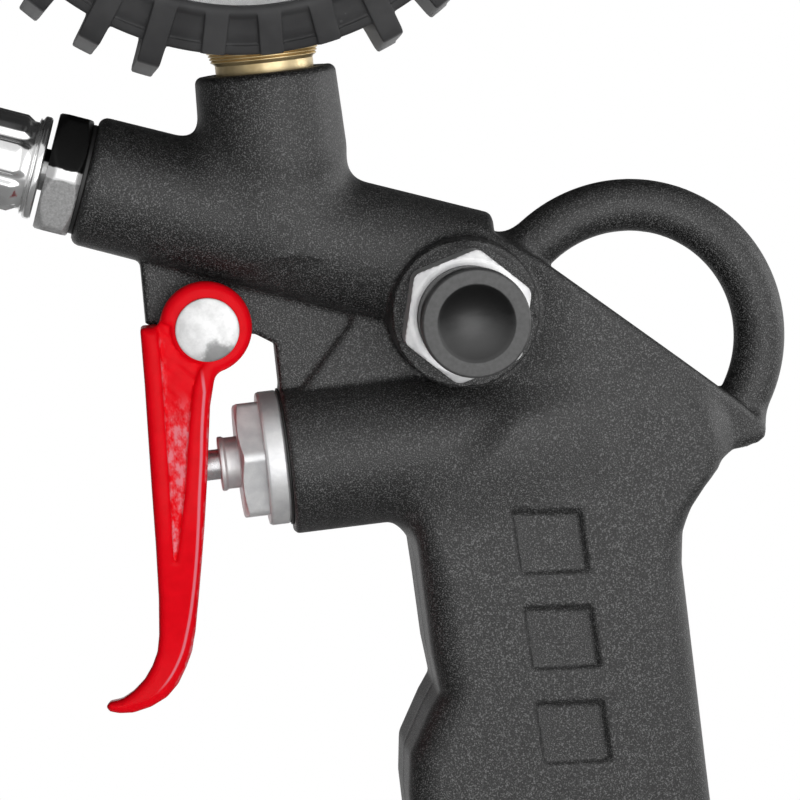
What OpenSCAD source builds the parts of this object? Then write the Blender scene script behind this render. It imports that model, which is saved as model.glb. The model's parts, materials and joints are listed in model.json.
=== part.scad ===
// Tyre inflator: a trigger-worked air valve in a cast handle, with a pressure gauge in a rubber
// boot, a bleed button on its side and a short hose that ends in a clip-on chuck.
// Millimetres. +Z runs up the grip and the gauge's stem, -X points towards the hose, and the
// bleed button and the gauge's face look along -Y. The origin is the centre of the inlet's mouth.

/* [Grip] */
// Height of the valve's axis above the grip's foot
grip_height = 90; // [84:1:98]
// Depth of the upper grip from front to back
grip_depth = 44; // [41:0.5:47]
// Thickness of the grip from side to side
grip_thickness = 25; // [24.5:0.5:28]
// Rounding of the grip's upright edges
grip_round = 9; // [6:0.5:10]
// How far the lower grip stands out in front of the upper grip
finger_rest = 6; // [4:0.5:7]
// Distance from the valve's axis down to the finger rest
finger_rest_drop = 42; // [39:0.5:45]
// Distance from the valve port's face back to the front of the grip
grip_setback = 19; // [17:0.5:21]
// Width of each recessed panel on the grip's sides
panel_width = 11.5; // [9:0.5:13]
// Height of each recessed panel
panel_height = 10.3; // [8:0.1:12]
// Distance from one panel to the next
panel_pitch = 15.5; // [14:0.5:17]
// Depth of the panels
panel_depth = 0.8; // [0.4:0.1:1.2]

/* [Cast head] */
// Diameter of the boss round the valve port
port_d = 24.8; // [24:0.1:26]
// Angle at which the barrel rises towards the hose
barrel_tilt = 20.75; // [18:0.25:23]
// Distance of the barrel's face in front of the valve port's face
barrel_forward = 27.3; // [26:0.5:30]
// Height of the barrel's face above the valve's axis
barrel_rise = 49.4; // [48:0.5:52]
// Diameter of the barrel
barrel_d = 21.6; // [21:0.2:23]
// Length of the barrel
barrel_length = 66; // [64:1:68]
// Diameter of the boss that holds the gauge
gauge_boss_d = 22.9; // [22:0.1:24]
// Height of the gauge boss above the valve's axis
gauge_boss_rise = 63.7; // [62:0.5:67]
// Distance of the gauge's stem behind the valve port's face
gauge_setback = 3.5; // [2:0.5:5]
// Thickness of the tang that carries the trigger
tang_thickness = 11; // [10:0.5:12]
// Thickness of the web between the barrel and the valve
web_thickness = 17.6; // [16:0.4:20]
// Diameter of the boss on the side that holds the bleed valve
side_boss_d = 22.6; // [22:0.1:24]
// Distance of the side boss behind the valve port's face
side_boss_setback = 30.5; // [29:0.5:32]
// Height of the side boss above the valve's axis
side_boss_rise = 22.2; // [21.5:0.5:24]
// Distance from the handle's middle to the side boss's face
side_boss_reach = 13; // [12.5:0.5:14]
// Outer diameter of the hanging loop
loop_d = 53.2; // [50:0.5:56]
// Thickness of the loop's round bar
loop_bar_d = 8.4; // [7:0.2:9.4]
// Height of the loop's centre above the valve's axis
loop_rise = 13; // [12:0.5:14]

/* [Trigger] */
// Height of the trigger's pivot above the valve's axis
pivot_rise = 24; // [23.5:0.5:25]
// Distance of the pivot in front of the valve port's face
pivot_forward = 10.5; // [10:0.25:11]
// Diameter of the pivot rivet
rivet_d = 5; // [4:0.5:6]
// Diameter of the rivet's domed heads
rivet_head_d = 10.2; // [9:0.2:11]
// Outer diameter of the trigger's eye
trigger_eye_d = 14.3; // [13.5:0.1:15]
// Width of the trigger across its cheeks
trigger_width = 18; // [17.5:0.5:20]
// Thickness of the trigger's front wall and cheeks
trigger_wall = 2.7; // [2:0.1:2.9]
// Distance from the pivot down to the trigger's lowest point
trigger_drop = 63.5; // [58:0.5:70]
// Width of the trigger's finger hook
trigger_hook_width = 12; // [10:0.5:16]

/* [Valve] */
// Size across the flats of the bonnet's hexagon
bonnet_hex = 20; // [18:0.5:21]
// Thickness of the bonnet's hexagon
bonnet_hex_t = 4; // [3:0.5:4.5]
// Diameter of the bonnet's flange
bonnet_flange_d = 22.1; // [21.5:0.1:24]
// Thickness of the bonnet's flange
bonnet_flange_t = 3.5; // [2:0.1:3.6]
// Thickness of the bonnet's gasket
gasket_t = 0.4; // [0.3:0.1:0.6]
// Diameter of the bonnet's neck
neck_d = 8.7; // [8:0.1:10]
// Length of the bonnet's neck
neck_length = 3.1; // [2:0.1:3.4]
// Thread diameter of the bonnet
bonnet_thread_d = 16; // [15.5:0.1:17]
// Length of the bonnet's thread
bonnet_thread_length = 10; // [8:0.5:11]
// Length of the bonnet's inner sleeve
sleeve_length = 9.9; // [9:0.1:11]
// Diameter of the plunger
plunger_d = 5; // [4:0.1:5.4]
// Thickness of the valve seat
seat_t = 3; // [2.5:0.5:4]
// Diameter of the hole in the valve seat
seat_hole_d = 6; // [5.5:0.1:7]
// Diameter of the poppet
poppet_d = 9.6; // [9:0.1:10.4]
// Diameter of the chamber behind the seat
chamber_d = 12; // [11.4:0.1:13]
// Length of the chamber behind the seat
chamber_length = 23; // [22:0.5:25]
// Diameter of the cross passages
passage_d = 5; // [4:0.5:6]

/* [Inlet] */
// Distance from the inlet's mouth up to the grip's foot
plug_length = 22; // [20:0.5:25]
// Diameter of the inlet plug's nose
plug_nose_d = 8.6; // [8.4:0.1:9.5]
// Diameter of the inlet plug's locking collar
plug_collar_d = 11.2; // [10.6:0.1:12]
// Size across the flats of the inlet's hexagon
plug_hex = 17; // [16:0.5:19]
// Thread diameter of the inlet
inlet_thread_d = 13.1; // [12.6:0.1:14]
// Length of the inlet's thread
inlet_thread_length = 11; // [9:0.5:13]
// Diameter of the air passages through the inlet and the grip
air_bore_d = 6; // [5:0.25:6.5]

/* [Bleed valve] */
// Size across the flats of the bleed nut
bleed_hex = 19; // [18.6:0.2:21]
// Thickness of the bleed nut's hexagon
bleed_hex_t = 5; // [4.5:0.25:6]
// Diameter of the bleed button
button_d = 17; // [16:0.1:17.2]
// Height of the bleed button above its nut
button_stand = 9.5; // [8.5:0.25:11]
// Diameter of the dish in the bleed button
dish_d = 12.4; // [11:0.2:13.5]
// Depth of the dish in the bleed button
dish_depth = 3.2; // [2:0.1:3.6]
// How far the bleed button travels
button_travel = 2.5; // [2:0.1:2.6]
// Thread diameter of the bleed nut
bleed_thread_d = 13; // [12.5:0.1:14]
// Length of the bleed nut's thread
bleed_thread_length = 10; // [9:0.5:11]
// Diameter of the bleed valve's stem
bleed_stem_d = 4; // [3.5:0.1:4.2]

/* [Gauge] */
// Gap from the gauge boss's top up to the boot
gauge_stand = 3.3; // [3.3:0.1:6]
// Distance from the stem's axis forward to the gauge's front
gauge_front = 25; // [24:0.5:28]
// Distance from the stem's axis back to the gauge's back
gauge_back = 14; // [13:0.5:16]
// Diameter of the opening in the boot's front
window_d = 77.8; // [72:0.2:86]
// How far the case reaches past that opening
window_rim = 2.1; // [1.7:0.1:2.6]
// Thickness of the boot's wall round the case
boot_wall = 5.5; // [5:0.5:7]
// Number of lugs round the boot
lug_count = 32; // [24:4:40]
// Width of each lug
lug_width = 3.7; // [3:0.1:4.4]
// How far the lugs stand out from the boot
lug_reach = 5.7; // [4:0.1:7]
// Diameter of the gauge's threaded socket
socket_thread_d = 16.6; // [16:0.1:17]
// Depth of the socket's thread in the gauge boss
socket_depth = 13; // [11:0.5:14]
// Diameter of the socket's collar
socket_collar_d = 18.3; // [17.6:0.1:19]
// Radius of the Bourdon tube's curve
bourdon_r = 30; // [28:0.5:32]
// Teeth on the pinion
pinion_teeth = 12; // [12:1:12]
// Teeth that a full circle of the sector gear would have
sector_teeth = 96; // [96:12:96]
// Module of the gear teeth
gear_module = 0.25; // [0.24:0.01:0.26]
// Diameter of the movement's arbors
arbor_d = 1.6; // [1.4:0.1:1.8]

/* [Hose and chuck] */
// Outside diameter of the hose
hose_d = 13; // [12:0.2:13.6]
// Size across the flats of the hose fitting's hexagon
fitting_hex = 19; // [17:0.5:20]
// Thickness of the hose fitting's hexagon
fitting_hex_t = 5.6; // [4.5:0.1:7]
// Thickness of the fitting's seal
fitting_seal_t = 0.8; // [0.5:0.1:1.2]
// Thread diameter of the hose fitting
fitting_thread_d = 13.1; // [12.6:0.1:14]
// Length of the hose fitting's thread
fitting_thread_length = 12; // [10:0.5:13]
// Length of each crimped ferrule
ferrule_length = 27; // [24:0.5:32]
// Wall thickness of each crimped ferrule
ferrule_wall = 1.4; // [1:0.1:2]
// Diameter of the chuck's body
chuck_d = 16; // [15.4:0.2:18]
// Length of the chuck's body
chuck_length = 36; // [35:0.5:40]
// Diameter of the chuck's mouth, which takes a tyre valve
chuck_mouth_d = 8.4; // [8:0.1:9]
// Depth of the chuck's mouth
chuck_mouth_depth = 13; // [11:0.5:14]
// Width of the chuck's clip lever
clip_width = 4; // [3:0.2:5]

/* [Clearances] */
// Radial gap round threads and parts that are fixed together
seat_gap = 0.05; // [0.03:0.01:0.08]
// Radial gap round parts that slide or turn
run_gap = 0.05; // [0.03:0.01:0.09]
// Gap between faces of parts that move past each other
side_gap = 0.4; // [0.3:0.05:0.5]

/* [Hidden] */
$fn = 64;
eps = 0.01;
arc_steps = 6;

// Places measured from the valve port's face, in [x, z]
port = [-(grip_setback + 20), plug_length + grip_height];
grip_front = grip_setback;
grip_back = grip_front + grip_depth;
inlet_x = -port.x;
grip_foot = -grip_height;
barrel_face = [-barrel_forward, barrel_rise];
barrel_way = [cos(barrel_tilt), -sin(barrel_tilt)];
pivot = [-pivot_forward, pivot_rise];
side_boss = [side_boss_setback, side_boss_rise];
loop_centre = [grip_back - 4.5, loop_rise];
loop_r = loop_d / 2 - loop_bar_d / 2;
case_r = window_d / 2 + window_rim;
boot_r = case_r + boot_wall;
gauge_rise = boot_r + gauge_stand;
gauge_z = gauge_boss_rise + gauge_rise;
function on_barrel_axis(s) = barrel_face + s * barrel_way;
function barrel_axis_z(x) = barrel_rise - (x + barrel_forward) * tan(barrel_tilt);

// The web's straight edge across the loop
loop_edge_angle = barrel_tilt * 2;
loop_edge_offset = 2.4;
loop_edge_along = [cos(loop_edge_angle), -sin(loop_edge_angle)];
loop_edge_out = [sin(loop_edge_angle), cos(loop_edge_angle)];
loop_edge_middle = loop_centre + loop_edge_offset * loop_edge_out;
loop_edge_start = loop_edge_middle - loop_r * 0.9 * loop_edge_along;
loop_edge_end = loop_edge_middle + loop_r * 0.92 * loop_edge_along;
tail_tip = loop_centre + (loop_d / 2) * [cos(-41), sin(-41)];

// Valve stack, along +X from the port's face
seat_x = bonnet_thread_length + sleeve_length + 0.1;
shoulder_x = seat_x + seat_t;
chamber_end = shoulder_x + chamber_length;
cross_hole_x = bonnet_thread_length + sleeve_length / 2;
flange_x = -gasket_t - bonnet_flange_t;
bonnet_hex_x = flange_x - bonnet_hex_t;
neck_x = bonnet_hex_x - neck_length;
taper_top = 22;
taper_low = 50;
hook_round = 2;
channel_low = 38;
trigger_reach = trigger_drop + trigger_eye_d;
trigger_wall_x = -pivot_forward - trigger_eye_d / 2 - trigger_wall / 2 + 0.2;
plunger_x = trigger_wall_x + 0.15;
plunger_neck_x = bonnet_thread_length - 2;
spindle_d = 3.4;
seal_t = 1.6;
poppet_t = 2.4;
poppet_x = shoulder_x + 0.05 + seal_t;
spindle_socket = 1.4;
guide_d = 4.2;
guide_length = 4;
oring_bar = 1.7;
oring_x = 3;

// Inlet
inlet_hex_t = 5;
collar_t = 3;
nose_length = 9;
washer_t = 1;
filter_t = 2;

// Bleed valve, measured from the handle's middle towards -Y
bleed_hex_front = side_boss_reach + bleed_hex_t;
button_base = bleed_hex_front - 0.4;
button_top = bleed_hex_front + button_stand;
recess_floor = button_base - button_travel - 0.3;
bleed_inner_end = side_boss_reach - bleed_thread_length;
bleed_bore_d = 7;
bleed_head_d = 9.4;
bleed_seal_t = 1.6;
bleed_head_t = 2;
button_hollow_d = button_d - 4;
button_roof = button_top - dish_depth - 1.8;
bleed_guide = bleed_inner_end + 8;
bleed_chamber = -6;

// Gauge, measured from its centre: radius, and height towards -Y
case_wall = 0.8;
case_in_r = case_r - case_wall;
boot_lip_t = 2.6;
case_front = gauge_front - boot_lip_t - 0.2;
boot_back_t = 1.8;
lug_depth = 23;
case_back = -(gauge_back - boot_back_t - 0.2);
bezel_t = 2;
lens_t = 2;
lens_front = case_front - bezel_t - 0.05;
dial_back = 12.4;
dial_t = 0.6;
spacer_t = lens_front - lens_t - dial_back - dial_t - 0.1;
lens_r = case_in_r - 0.1;
dial_r = case_in_r - 0.2;
socket_shank_d = 12;
block_w = 16;
block_low = -case_r + 3.5;
block_high = -31;
tongue_high = -23;
tube_bar = 2.6;
tube_depth = 9;
tube_first = -5;
tube_sweep = 258.5;
plate_t = 1.2;
back_plate_h = -1;
front_plate_h = 7;
pinion_r = gear_module * pinion_teeth / 2;
sector_r = gear_module * sector_teeth / 2;
sector_z = -(pinion_r + sector_r);
sector_swing = 270 * pinion_teeth / sector_teeth;
tail_r = 5;
tail_angle = -60.9;
link_travel = tail_r * sector_swing * PI / 180;
tip_mid = [bourdon_r * cos(tube_first - 2), bourdon_r * sin(tube_first - 2)];
tail_start = [0, sector_z] + tail_r * [cos(tail_angle - sector_swing / 2), sin(tail_angle - sector_swing / 2)];
pillar_out = 9;
pillar_up = 6;
pillar_down = 4.9;
pillar_places = [[pillar_out, pillar_up], [-pillar_out, pillar_up],
  [pillar_out, sector_z - pillar_down], [-pillar_out, sector_z - pillar_down]];
pillar_d = 3;
plate_w = 22;
back_plate_top = 9.5;
back_plate_low = -22;
foot_w = 14;
foot_low = -30.5;
foot_lap = 3.5;
front_plate_top = 9;
front_plate_rim = 7;
screw_out = 5;
screw_low = -27;
screw_d = 1.8;
screw_places = [[screw_out, screw_low], [-screw_out, screw_low]];
dial_screw_places = [[pillar_out, pillar_up], [-pillar_out, pillar_up]];
pointer_h = 14.2;
lug_pitch = 360 / lug_count;

// Hose, in [x, z] from the first ferrule's mouth; the last point is the second ferrule's mouth
hose_route = [
  [0, 0], [-19, 7], [-38.5, 10], [-58.5, 8.5], [-77, 1], [-93, -10.5], [-106, -25.5],
  [-115.5, -43.5], [-121.5, -62.5], [-125, -82], [-126.5, -102], [-127, -122],
  [-127, -142], [-127, -172], [-127, -204.5], [-127, -237], [-127, -269.5], [-127, -302]
];
hose_sides = 12;
hose_grip = 20;
ferrule_gap = 0.8;
tail_d = 7.4;
ferrule_d = hose_d + 2 * ferrule_wall + 2 * seat_gap;
ferrule_start = fitting_seal_t + fitting_hex_t + ferrule_gap;
hose_exit = on_barrel_axis(-ferrule_start - ferrule_length);
chuck_mouth = hose_route[len(hose_route) - 1];
seal_pocket = 2.2;
chuck_hex = 15;
chuck_hex_t = 4;
chuck_low = ferrule_length + ferrule_gap + chuck_hex_t + chuck_length;
clip_pivot = [-chuck_d / 2 - 2, -(chuck_low - 20)];
clip_pin_d = 2.6;
clip_eye_d = 6;

// Frames that the pieces are built in
module at_port() translate([port.x, 0, port.y]) children();
module on_barrel() at_port() translate([barrel_face.x, 0, barrel_face.y]) rotate([0, 90 + barrel_tilt, 0]) children();
module on_side() at_port() translate([side_boss.x, 0, side_boss.y]) rotate([90, 0, 0]) children();
module on_gauge() at_port() translate([gauge_setback, 0, gauge_z]) rotate([90, 0, 0]) children();
module at_exit() at_port() translate([hose_exit.x, 0, hose_exit.y]) children();
module at_chuck() at_exit() translate([chuck_mouth.x, 0, chuck_mouth.y]) children();
module along_x() rotate([0, 90, 0]) children();
module both_sides() { children(); mirror([0, 1, 0]) children(); }

// Shapes that repeat
function arc_points(centre, r, a0, a1, steps) =
  [for (i = [0:steps]) let (a = a0 + (a1 - a0) * i / steps) centre + r * [cos(a), sin(a)]];
function round_rectangle(x0, x1, half, r) = concat(
  arc_points([x1 - r, half - r], r, 0, 90, arc_steps), arc_points([x0 + r, half - r], r, 90, 180, arc_steps),
  arc_points([x0 + r, r - half], r, 180, 270, arc_steps), arc_points([x1 - r, r - half], r, 270, 360, arc_steps));
module side_plate(points, thickness)
  rotate([90, 0, 0]) translate([0, 0, -thickness / 2]) linear_extrude(thickness) polygon(points);
module hexagon(flats, thickness) rotate([0, 0, 30]) cylinder(h = thickness, d = flats / cos(30), $fn = 6);
module tube(outer, inner, length) difference() {
  cylinder(h = length, d = outer);
  translate([0, 0, -1]) cylinder(h = length + 2, d = inner);
}
module bevelled(d, length, bevel) rotate_extrude() polygon([
  [0, 0], [d / 2, 0], [d / 2, length - bevel], [d / 2 - bevel, length], [0, length]]);

// A solid swept along a list of 3D points; each ring lies square to the path
function way_at(p, i) = let (a = p[max(i - 1, 0)], b = p[min(i + 1, len(p) - 1)]) (b - a) / norm(b - a);
function square_ring(centre, way, side, r, sides) =
  let (u = cross(side, way), n = u / norm(u), m = cross(way, n))
  [for (k = [0:sides - 1]) centre + r * (cos(360 * k / sides) * n + sin(360 * k / sides) * m)];
module sweep_tube(path, r, sides, side) {
  last = len(path) - 1;
  points = [for (i = [0:last]) each square_ring(path[i], way_at(path, i), side, r, sides)];
  walls = [for (i = [0:last - 1], k = [0:sides - 1]) let (a = i * sides + k, b = i * sides + (k + 1) % sides)
    each [[a, a + sides, b], [b, a + sides, b + sides]]];
  caps = [for (k = [1:sides - 2]) each [[0, k, k + 1], [last * sides, last * sides + k + 1, last * sides + k]]];
  polyhedron(points, concat(walls, caps), convexity = 10);
}
// A compression spring along +Z, with wire_d of wire at radius r
module coil_spring(r, wire_d, length, turns) {
  steps = turns * 14;
  path = [for (i = [0:steps]) let (a = 360 * turns * i / steps)
    [r * cos(a), r * sin(a), wire_d / 2 + (length - wire_d) * i / steps]];
  sweep_tube(path, wire_d / 2, 6, [0, 0, 1]);
}
// Gear outline with slim straight-sided teeth
function tooth(r, m, a) = let (q = m * 90 / r) [
  (r - 1.15 * m) * [cos(a - 0.75 * q / 1.6), sin(a - 0.75 * q / 1.6)], (r + 0.8 * m) * [cos(a - 0.28 * q / 1.6), sin(a - 0.28 * q / 1.6)],
  (r + 0.8 * m) * [cos(a + 0.28 * q / 1.6), sin(a + 0.28 * q / 1.6)], (r - 1.15 * m) * [cos(a + 0.75 * q / 1.6), sin(a + 0.75 * q / 1.6)]];

// ---- Handle ----
module grip_solid() {
  upper_top = -4;
  upper = [grip_foot + 20, upper_top];
  translate([0, 0, upper[0]]) linear_extrude(upper[1] - upper[0])
    polygon(round_rectangle(grip_front, grip_back, grip_thickness / 2, grip_round));
  rest_low = -finger_rest_drop - finger_rest * 1.6;
  intersection() {
    translate([0, 0, grip_foot]) linear_extrude(grip_height)
      polygon(round_rectangle(grip_front - finger_rest, grip_back, grip_thickness / 2, grip_round));
    side_plate([
      [grip_front + 6, -finger_rest_drop + 3], [grip_front - finger_rest - 1, rest_low],
      [grip_front - finger_rest - 1, grip_foot + 4], [grip_front - finger_rest + 3, grip_foot - 1],
      [grip_back - 3, grip_foot - 1], [grip_back + 1, grip_foot + 4], [grip_back + 1, rest_low],
      [grip_back - 6, -finger_rest_drop + 3]], grip_thickness + 2);
  }
}
module head_solid() {
  // Tang, with the lobe round the pivot
  side_plate([
    on_barrel_axis(8), [pivot.x - 9.8, pivot.y + 1.1], [pivot.x + 7.6, pivot.y - 2.5],
    [0.1, pivot.y - 4], [0.1, 5], [grip_front, 5], on_barrel_axis(50)], tang_thickness);
  translate([pivot.x, tang_thickness / 2, pivot.y]) rotate([90, 0, 0]) cylinder(h = tang_thickness, r = 6.2);
  // Web between the barrel, the valve and the loop
  side_plate([
    [3.4, 5], [3.4, port_d / 2 - 0.5], on_barrel_axis(42.6) - [0, barrel_d / 2 + 1], on_barrel_axis(46),
    on_barrel_axis(barrel_length - 4), on_barrel_axis(barrel_length - 2) + [0, barrel_d / 2 - 0.4],
    on_barrel_axis(barrel_length + 3) + [0, barrel_d / 2 - 2], loop_edge_start, loop_edge_end, tail_tip,
    tail_tip + [-3, -1.1], [grip_back + 8.6, -8.9], [grip_back + 4.4, -11.8], [grip_back + 1.9, -14.9],
    [grip_back - 0.5, -20], [grip_back - 1.5, -30], [grip_front + 2, -26], [grip_front + 2, 5]], web_thickness);
  // Palm swell, flush with the grip's sides
  side_plate([
    [grip_front + 8, -3], [grip_front + 31, 8.3], [grip_back - 3, 6.5], [grip_back + 8, -2.5],
    [grip_back + 2.5, -10.5], [grip_back - 3, -18], [grip_back - 5, -28], [grip_front + 9, -28]],
    grip_thickness - 0.6);
  // Valve boss and the fillet under it
  along_x() cylinder(h = grip_front + 28, d = port_d);
  side_plate([[grip_front - 4, -port_d / 2 + 1], [grip_front - 3, -port_d / 2 - 0.2],
    [grip_front - 0.6, -port_d / 2 - 2.2], [grip_front + 0.2, -port_d / 2 - 6], [grip_front + 6, -port_d / 2 - 6],
    [grip_front + 6, -port_d / 2 + 4]], grip_thickness - 2 * grip_round);
  // Gauge boss, slightly wider towards its root
  gauge_root = barrel_axis_z(gauge_setback);
  translate([gauge_setback, 0, 0]) rotate_extrude() polygon([
    [0, gauge_root], [gauge_boss_d / 2 + 0.4, gauge_root], [gauge_boss_d / 2 - 0.1, gauge_boss_rise - 1.2],
    [gauge_boss_d / 2 - 1.3, gauge_boss_rise], [0, gauge_boss_rise]]);
  // Hanging loop
  translate([loop_centre.x, 0, loop_centre.y]) rotate([90, 0, 0]) rotate([0, 0, -40])
    rotate_extrude(angle = 182) translate([loop_r, 0]) circle(d = loop_bar_d);
}
module barrel_solid() rotate_extrude() polygon([
  [0, 0], [barrel_d / 2 - 1.8, 0], [barrel_d / 2 - 0.8, 0.5], [barrel_d / 2 - 0.3, 1.5],
  [barrel_d / 2 + 0.2, barrel_length - 2], [barrel_d / 2 - 1.5, barrel_length], [0, barrel_length]]);
module panel_cuts() both_sides() for (i = [0:2]) let (top = -panel_height - 1 - i * panel_pitch, left = grip_front + 16)
  translate([0, -grip_thickness / 2 + panel_depth, 0]) rotate([90, 0, 0]) linear_extrude(5)
    polygon([[left, top], [left + panel_width, top - 1.7], [left + panel_width, top - panel_height - 1.7],
      [left, top - panel_height]]);
module body_bores() {
  // Valve bore, chamber and the passage up to the barrel
  translate([-eps, 0, 0]) along_x() cylinder(h = shoulder_x + eps, d = bonnet_thread_d + 2 * seat_gap);
  along_x() cylinder(h = chamber_end, d = chamber_d);
  translate([cross_hole_x, 0, 0]) cylinder(h = barrel_axis_z(cross_hole_x), d = passage_d);
  // Inlet thread and the passage up the grip
  translate([inlet_x, 0, grip_foot - eps]) cylinder(h = inlet_thread_length + 3 + eps, d = inlet_thread_d + 2 * seat_gap);
  translate([inlet_x, 0, grip_foot]) cylinder(h = grip_height, d = air_bore_d + 1);
  // Gauge thread and the passage down to the barrel
  translate([gauge_setback, 0, gauge_boss_rise - socket_depth - washer_t]) cylinder(h = 40, d = socket_thread_d + 2 * seat_gap);
  translate([gauge_setback, 0, barrel_axis_z(gauge_setback)]) cylinder(h = 30, d = passage_d + 1);
  // Trigger's pivot
  translate([pivot.x, 20, pivot.y]) rotate([90, 0, 0]) cylinder(h = 40, d = rivet_d + 2 * run_gap);
}
module body() color("#3a3a3c") difference() {
  union() {
    at_port() { grip_solid(); head_solid(); }
    on_barrel() barrel_solid();
    on_side() translate([0, 0, 2]) cylinder(h = side_boss_reach - 2, d = side_boss_d);
  }
  at_port() { body_bores(); panel_cuts(); }
  on_barrel() translate([0, 0, -eps]) {
    cylinder(h = fitting_thread_length + 2, d = fitting_thread_d + 2 * seat_gap);
    cylinder(h = barrel_length - 3, d = passage_d + 2);
  }
  on_side() {
    translate([0, 0, bleed_inner_end]) cylinder(h = 40, d = bleed_thread_d + 2 * seat_gap);
    translate([0, 0, bleed_chamber]) cylinder(h = 20, d = bleed_thread_d - 1);
  }
}
module inlet_plug() color("silver") difference() {
  union() {
    translate([0, 0, nose_length]) cylinder(h = collar_t, d = plug_collar_d);
    cylinder(h = plug_length - washer_t, d = plug_nose_d);
    translate([0, 0, plug_length - washer_t - inlet_hex_t]) hexagon(plug_hex, inlet_hex_t);
    translate([0, 0, plug_length - washer_t]) cylinder(h = inlet_thread_length + washer_t, d = inlet_thread_d);
  }
  translate([0, 0, -1]) cylinder(h = plug_length + inlet_thread_length + 2, d = air_bore_d);
}
module inlet_washer() color("#202022")
  translate([0, 0, plug_length - washer_t]) tube(plug_hex - 0.5, inlet_thread_d + 2 * seat_gap, washer_t);
module inlet_filter() color("#b8924a") translate([0, 0, plug_length + inlet_thread_length + 0.1]) difference() {
  cylinder(h = filter_t, d = inlet_thread_d);
  for (a = [0:60:300]) rotate([0, 0, a]) translate([inlet_thread_d / 5, 0, -1]) cylinder(h = filter_t + 2, d = 1.8);
}

// ---- Trigger ----
function trigger_edge() = let (j = trigger_eye_d / 14.3, k = trigger_drop / 63.5) [for (p = [
  [-11, 1], [-11.7, -12.3], [-12.5, -28.9], [-13.4, -45.6], [-14.2, -52.2], [-15.2, -55.5],
  [-17.2, -58.6], [-20.5, -60.8], [-23.4, -61.4], [-23.7, -62.4], [-20.6, -63.4], [-17.5, -63.3], [-14.5, -62.3],
  [-11.1, -59.3], [-9.4, -56.1], [-8.2, -52.9], [-6.8, -46.4], [-3.4, -30], [-0.4, -13.5],
  [0.4, -9.6], [4.6, -5.4], [0, 0]]) [p.x * j, p.y * (p.y < -30 ? k : j)]];
module trigger() color("#e0121c") at_port() translate([pivot.x, 0, pivot.y]) difference() {
  intersection() {
    union() {
      side_plate(trigger_edge(), trigger_width);
      translate([0, trigger_width / 2, 0]) rotate([90, 0, 0]) cylinder(h = trigger_width, d = trigger_eye_d);
    }
    rotate([90, 0, 90]) translate([0, 0, -trigger_reach / 2]) linear_extrude(trigger_reach) polygon([
      [-trigger_width / 2, trigger_eye_d], [-trigger_width / 2, -taper_top], [-trigger_hook_width / 2, -taper_low],
      [-trigger_hook_width / 2 + hook_round, -trigger_drop - 1], [trigger_hook_width / 2 - hook_round, -trigger_drop - 1],
      [trigger_hook_width / 2, -taper_low], [trigger_width / 2, -taper_top], [trigger_width / 2, trigger_eye_d]]);
  }
  // The channel that straddles the tang and takes the plunger
  side_plate([[trigger_wall_x - pivot.x, trigger_eye_d], [trigger_wall_x - pivot.x, -channel_low + 6],
    [trigger_wall_x - pivot.x + 2.4, -channel_low], [trigger_eye_d, -channel_low], [trigger_eye_d, trigger_eye_d]],
    trigger_width - 2 * trigger_wall);
  translate([0, 20, 0]) rotate([90, 0, 0]) cylinder(h = 40, d = rivet_d + 2 * run_gap);
}
module pivot_rivet() color("silver") at_port() translate([pivot.x, 0, pivot.y]) rotate([90, 0, 0]) {
  half = trigger_width / 2 + 0.15;
  dome_t = 1.7;
  dome_r = (pow(rivet_head_d / 2, 2) + pow(dome_t - 0.5, 2)) / (2 * (dome_t - 0.5));
  dome_a = asin(rivet_head_d / 2 / dome_r);
  translate([0, 0, -half]) cylinder(h = 2 * half, d = rivet_d);
  for (s = [0, 1]) mirror([0, 0, s]) translate([0, 0, half]) rotate_extrude() polygon(concat(
    [[0, 0], [rivet_head_d / 2, 0]],
    arc_points([0, dome_t - dome_r], dome_r, 90 - dome_a, 90, arc_steps)));
}

// ---- Main valve ----
module valve_bonnet() color("#c8c9cb") at_port() difference() {
  along_x() union() {
    translate([0, 0, flange_x]) cylinder(h = bonnet_flange_t, d = bonnet_flange_d);
    translate([0, 0, bonnet_hex_x]) hexagon(bonnet_hex, bonnet_hex_t + 1);
    translate([0, 0, neck_x]) cylinder(h = neck_length + 1, d = neck_d);
    translate([0, 0, -gasket_t - 1]) cylinder(h = gasket_t + 1 + bonnet_thread_length, d = bonnet_thread_d);
    cylinder(h = bonnet_thread_length + sleeve_length, d = bonnet_thread_d - 2);
  }
  along_x() {
    translate([0, 0, neck_x - 1]) cylinder(h = 60, d = plunger_d + 2 * run_gap);
    translate([0, 0, plunger_neck_x]) cylinder(h = 40, d = bonnet_thread_d - 6);
    translate([0, 0, oring_x - oring_bar / 2 - 0.1]) cylinder(h = oring_bar + 0.2, d = plunger_d + 2 * run_gap + 2 * oring_bar + 0.1);
  }
  translate([cross_hole_x, 0, -20]) cylinder(h = 40, d = passage_d - 1);
}
module bonnet_gasket() color("#202022") at_port() translate([-gasket_t, 0, 0]) along_x()
  tube(bonnet_flange_d + 0.6, bonnet_thread_d + 2 * seat_gap, gasket_t);
module plunger_seal() color("#202022") at_port() translate([oring_x, 0, 0]) along_x()
  rotate_extrude() translate([plunger_d / 2 + run_gap + oring_bar / 2, 0]) circle(d = oring_bar);
module valve_seat() color("#e8e4d8") at_port() translate([seat_x, 0, 0]) along_x()
  tube(bonnet_thread_d, seat_hole_d, seat_t);
module plunger() color("#b9babd") at_port() along_x() {
  translate([0, 0, plunger_x]) rotate_extrude() polygon(concat(
    [[0, plunger_neck_x - plunger_x], [plunger_d / 2, plunger_neck_x - plunger_x]],
    arc_points([0, plunger_d / 2], plunger_d / 2, 0, -90, arc_steps)));
  translate([0, 0, plunger_neck_x - 1]) cylinder(h = poppet_x + spindle_socket - 0.1 - plunger_neck_x + 1, d = spindle_d);
}
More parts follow.
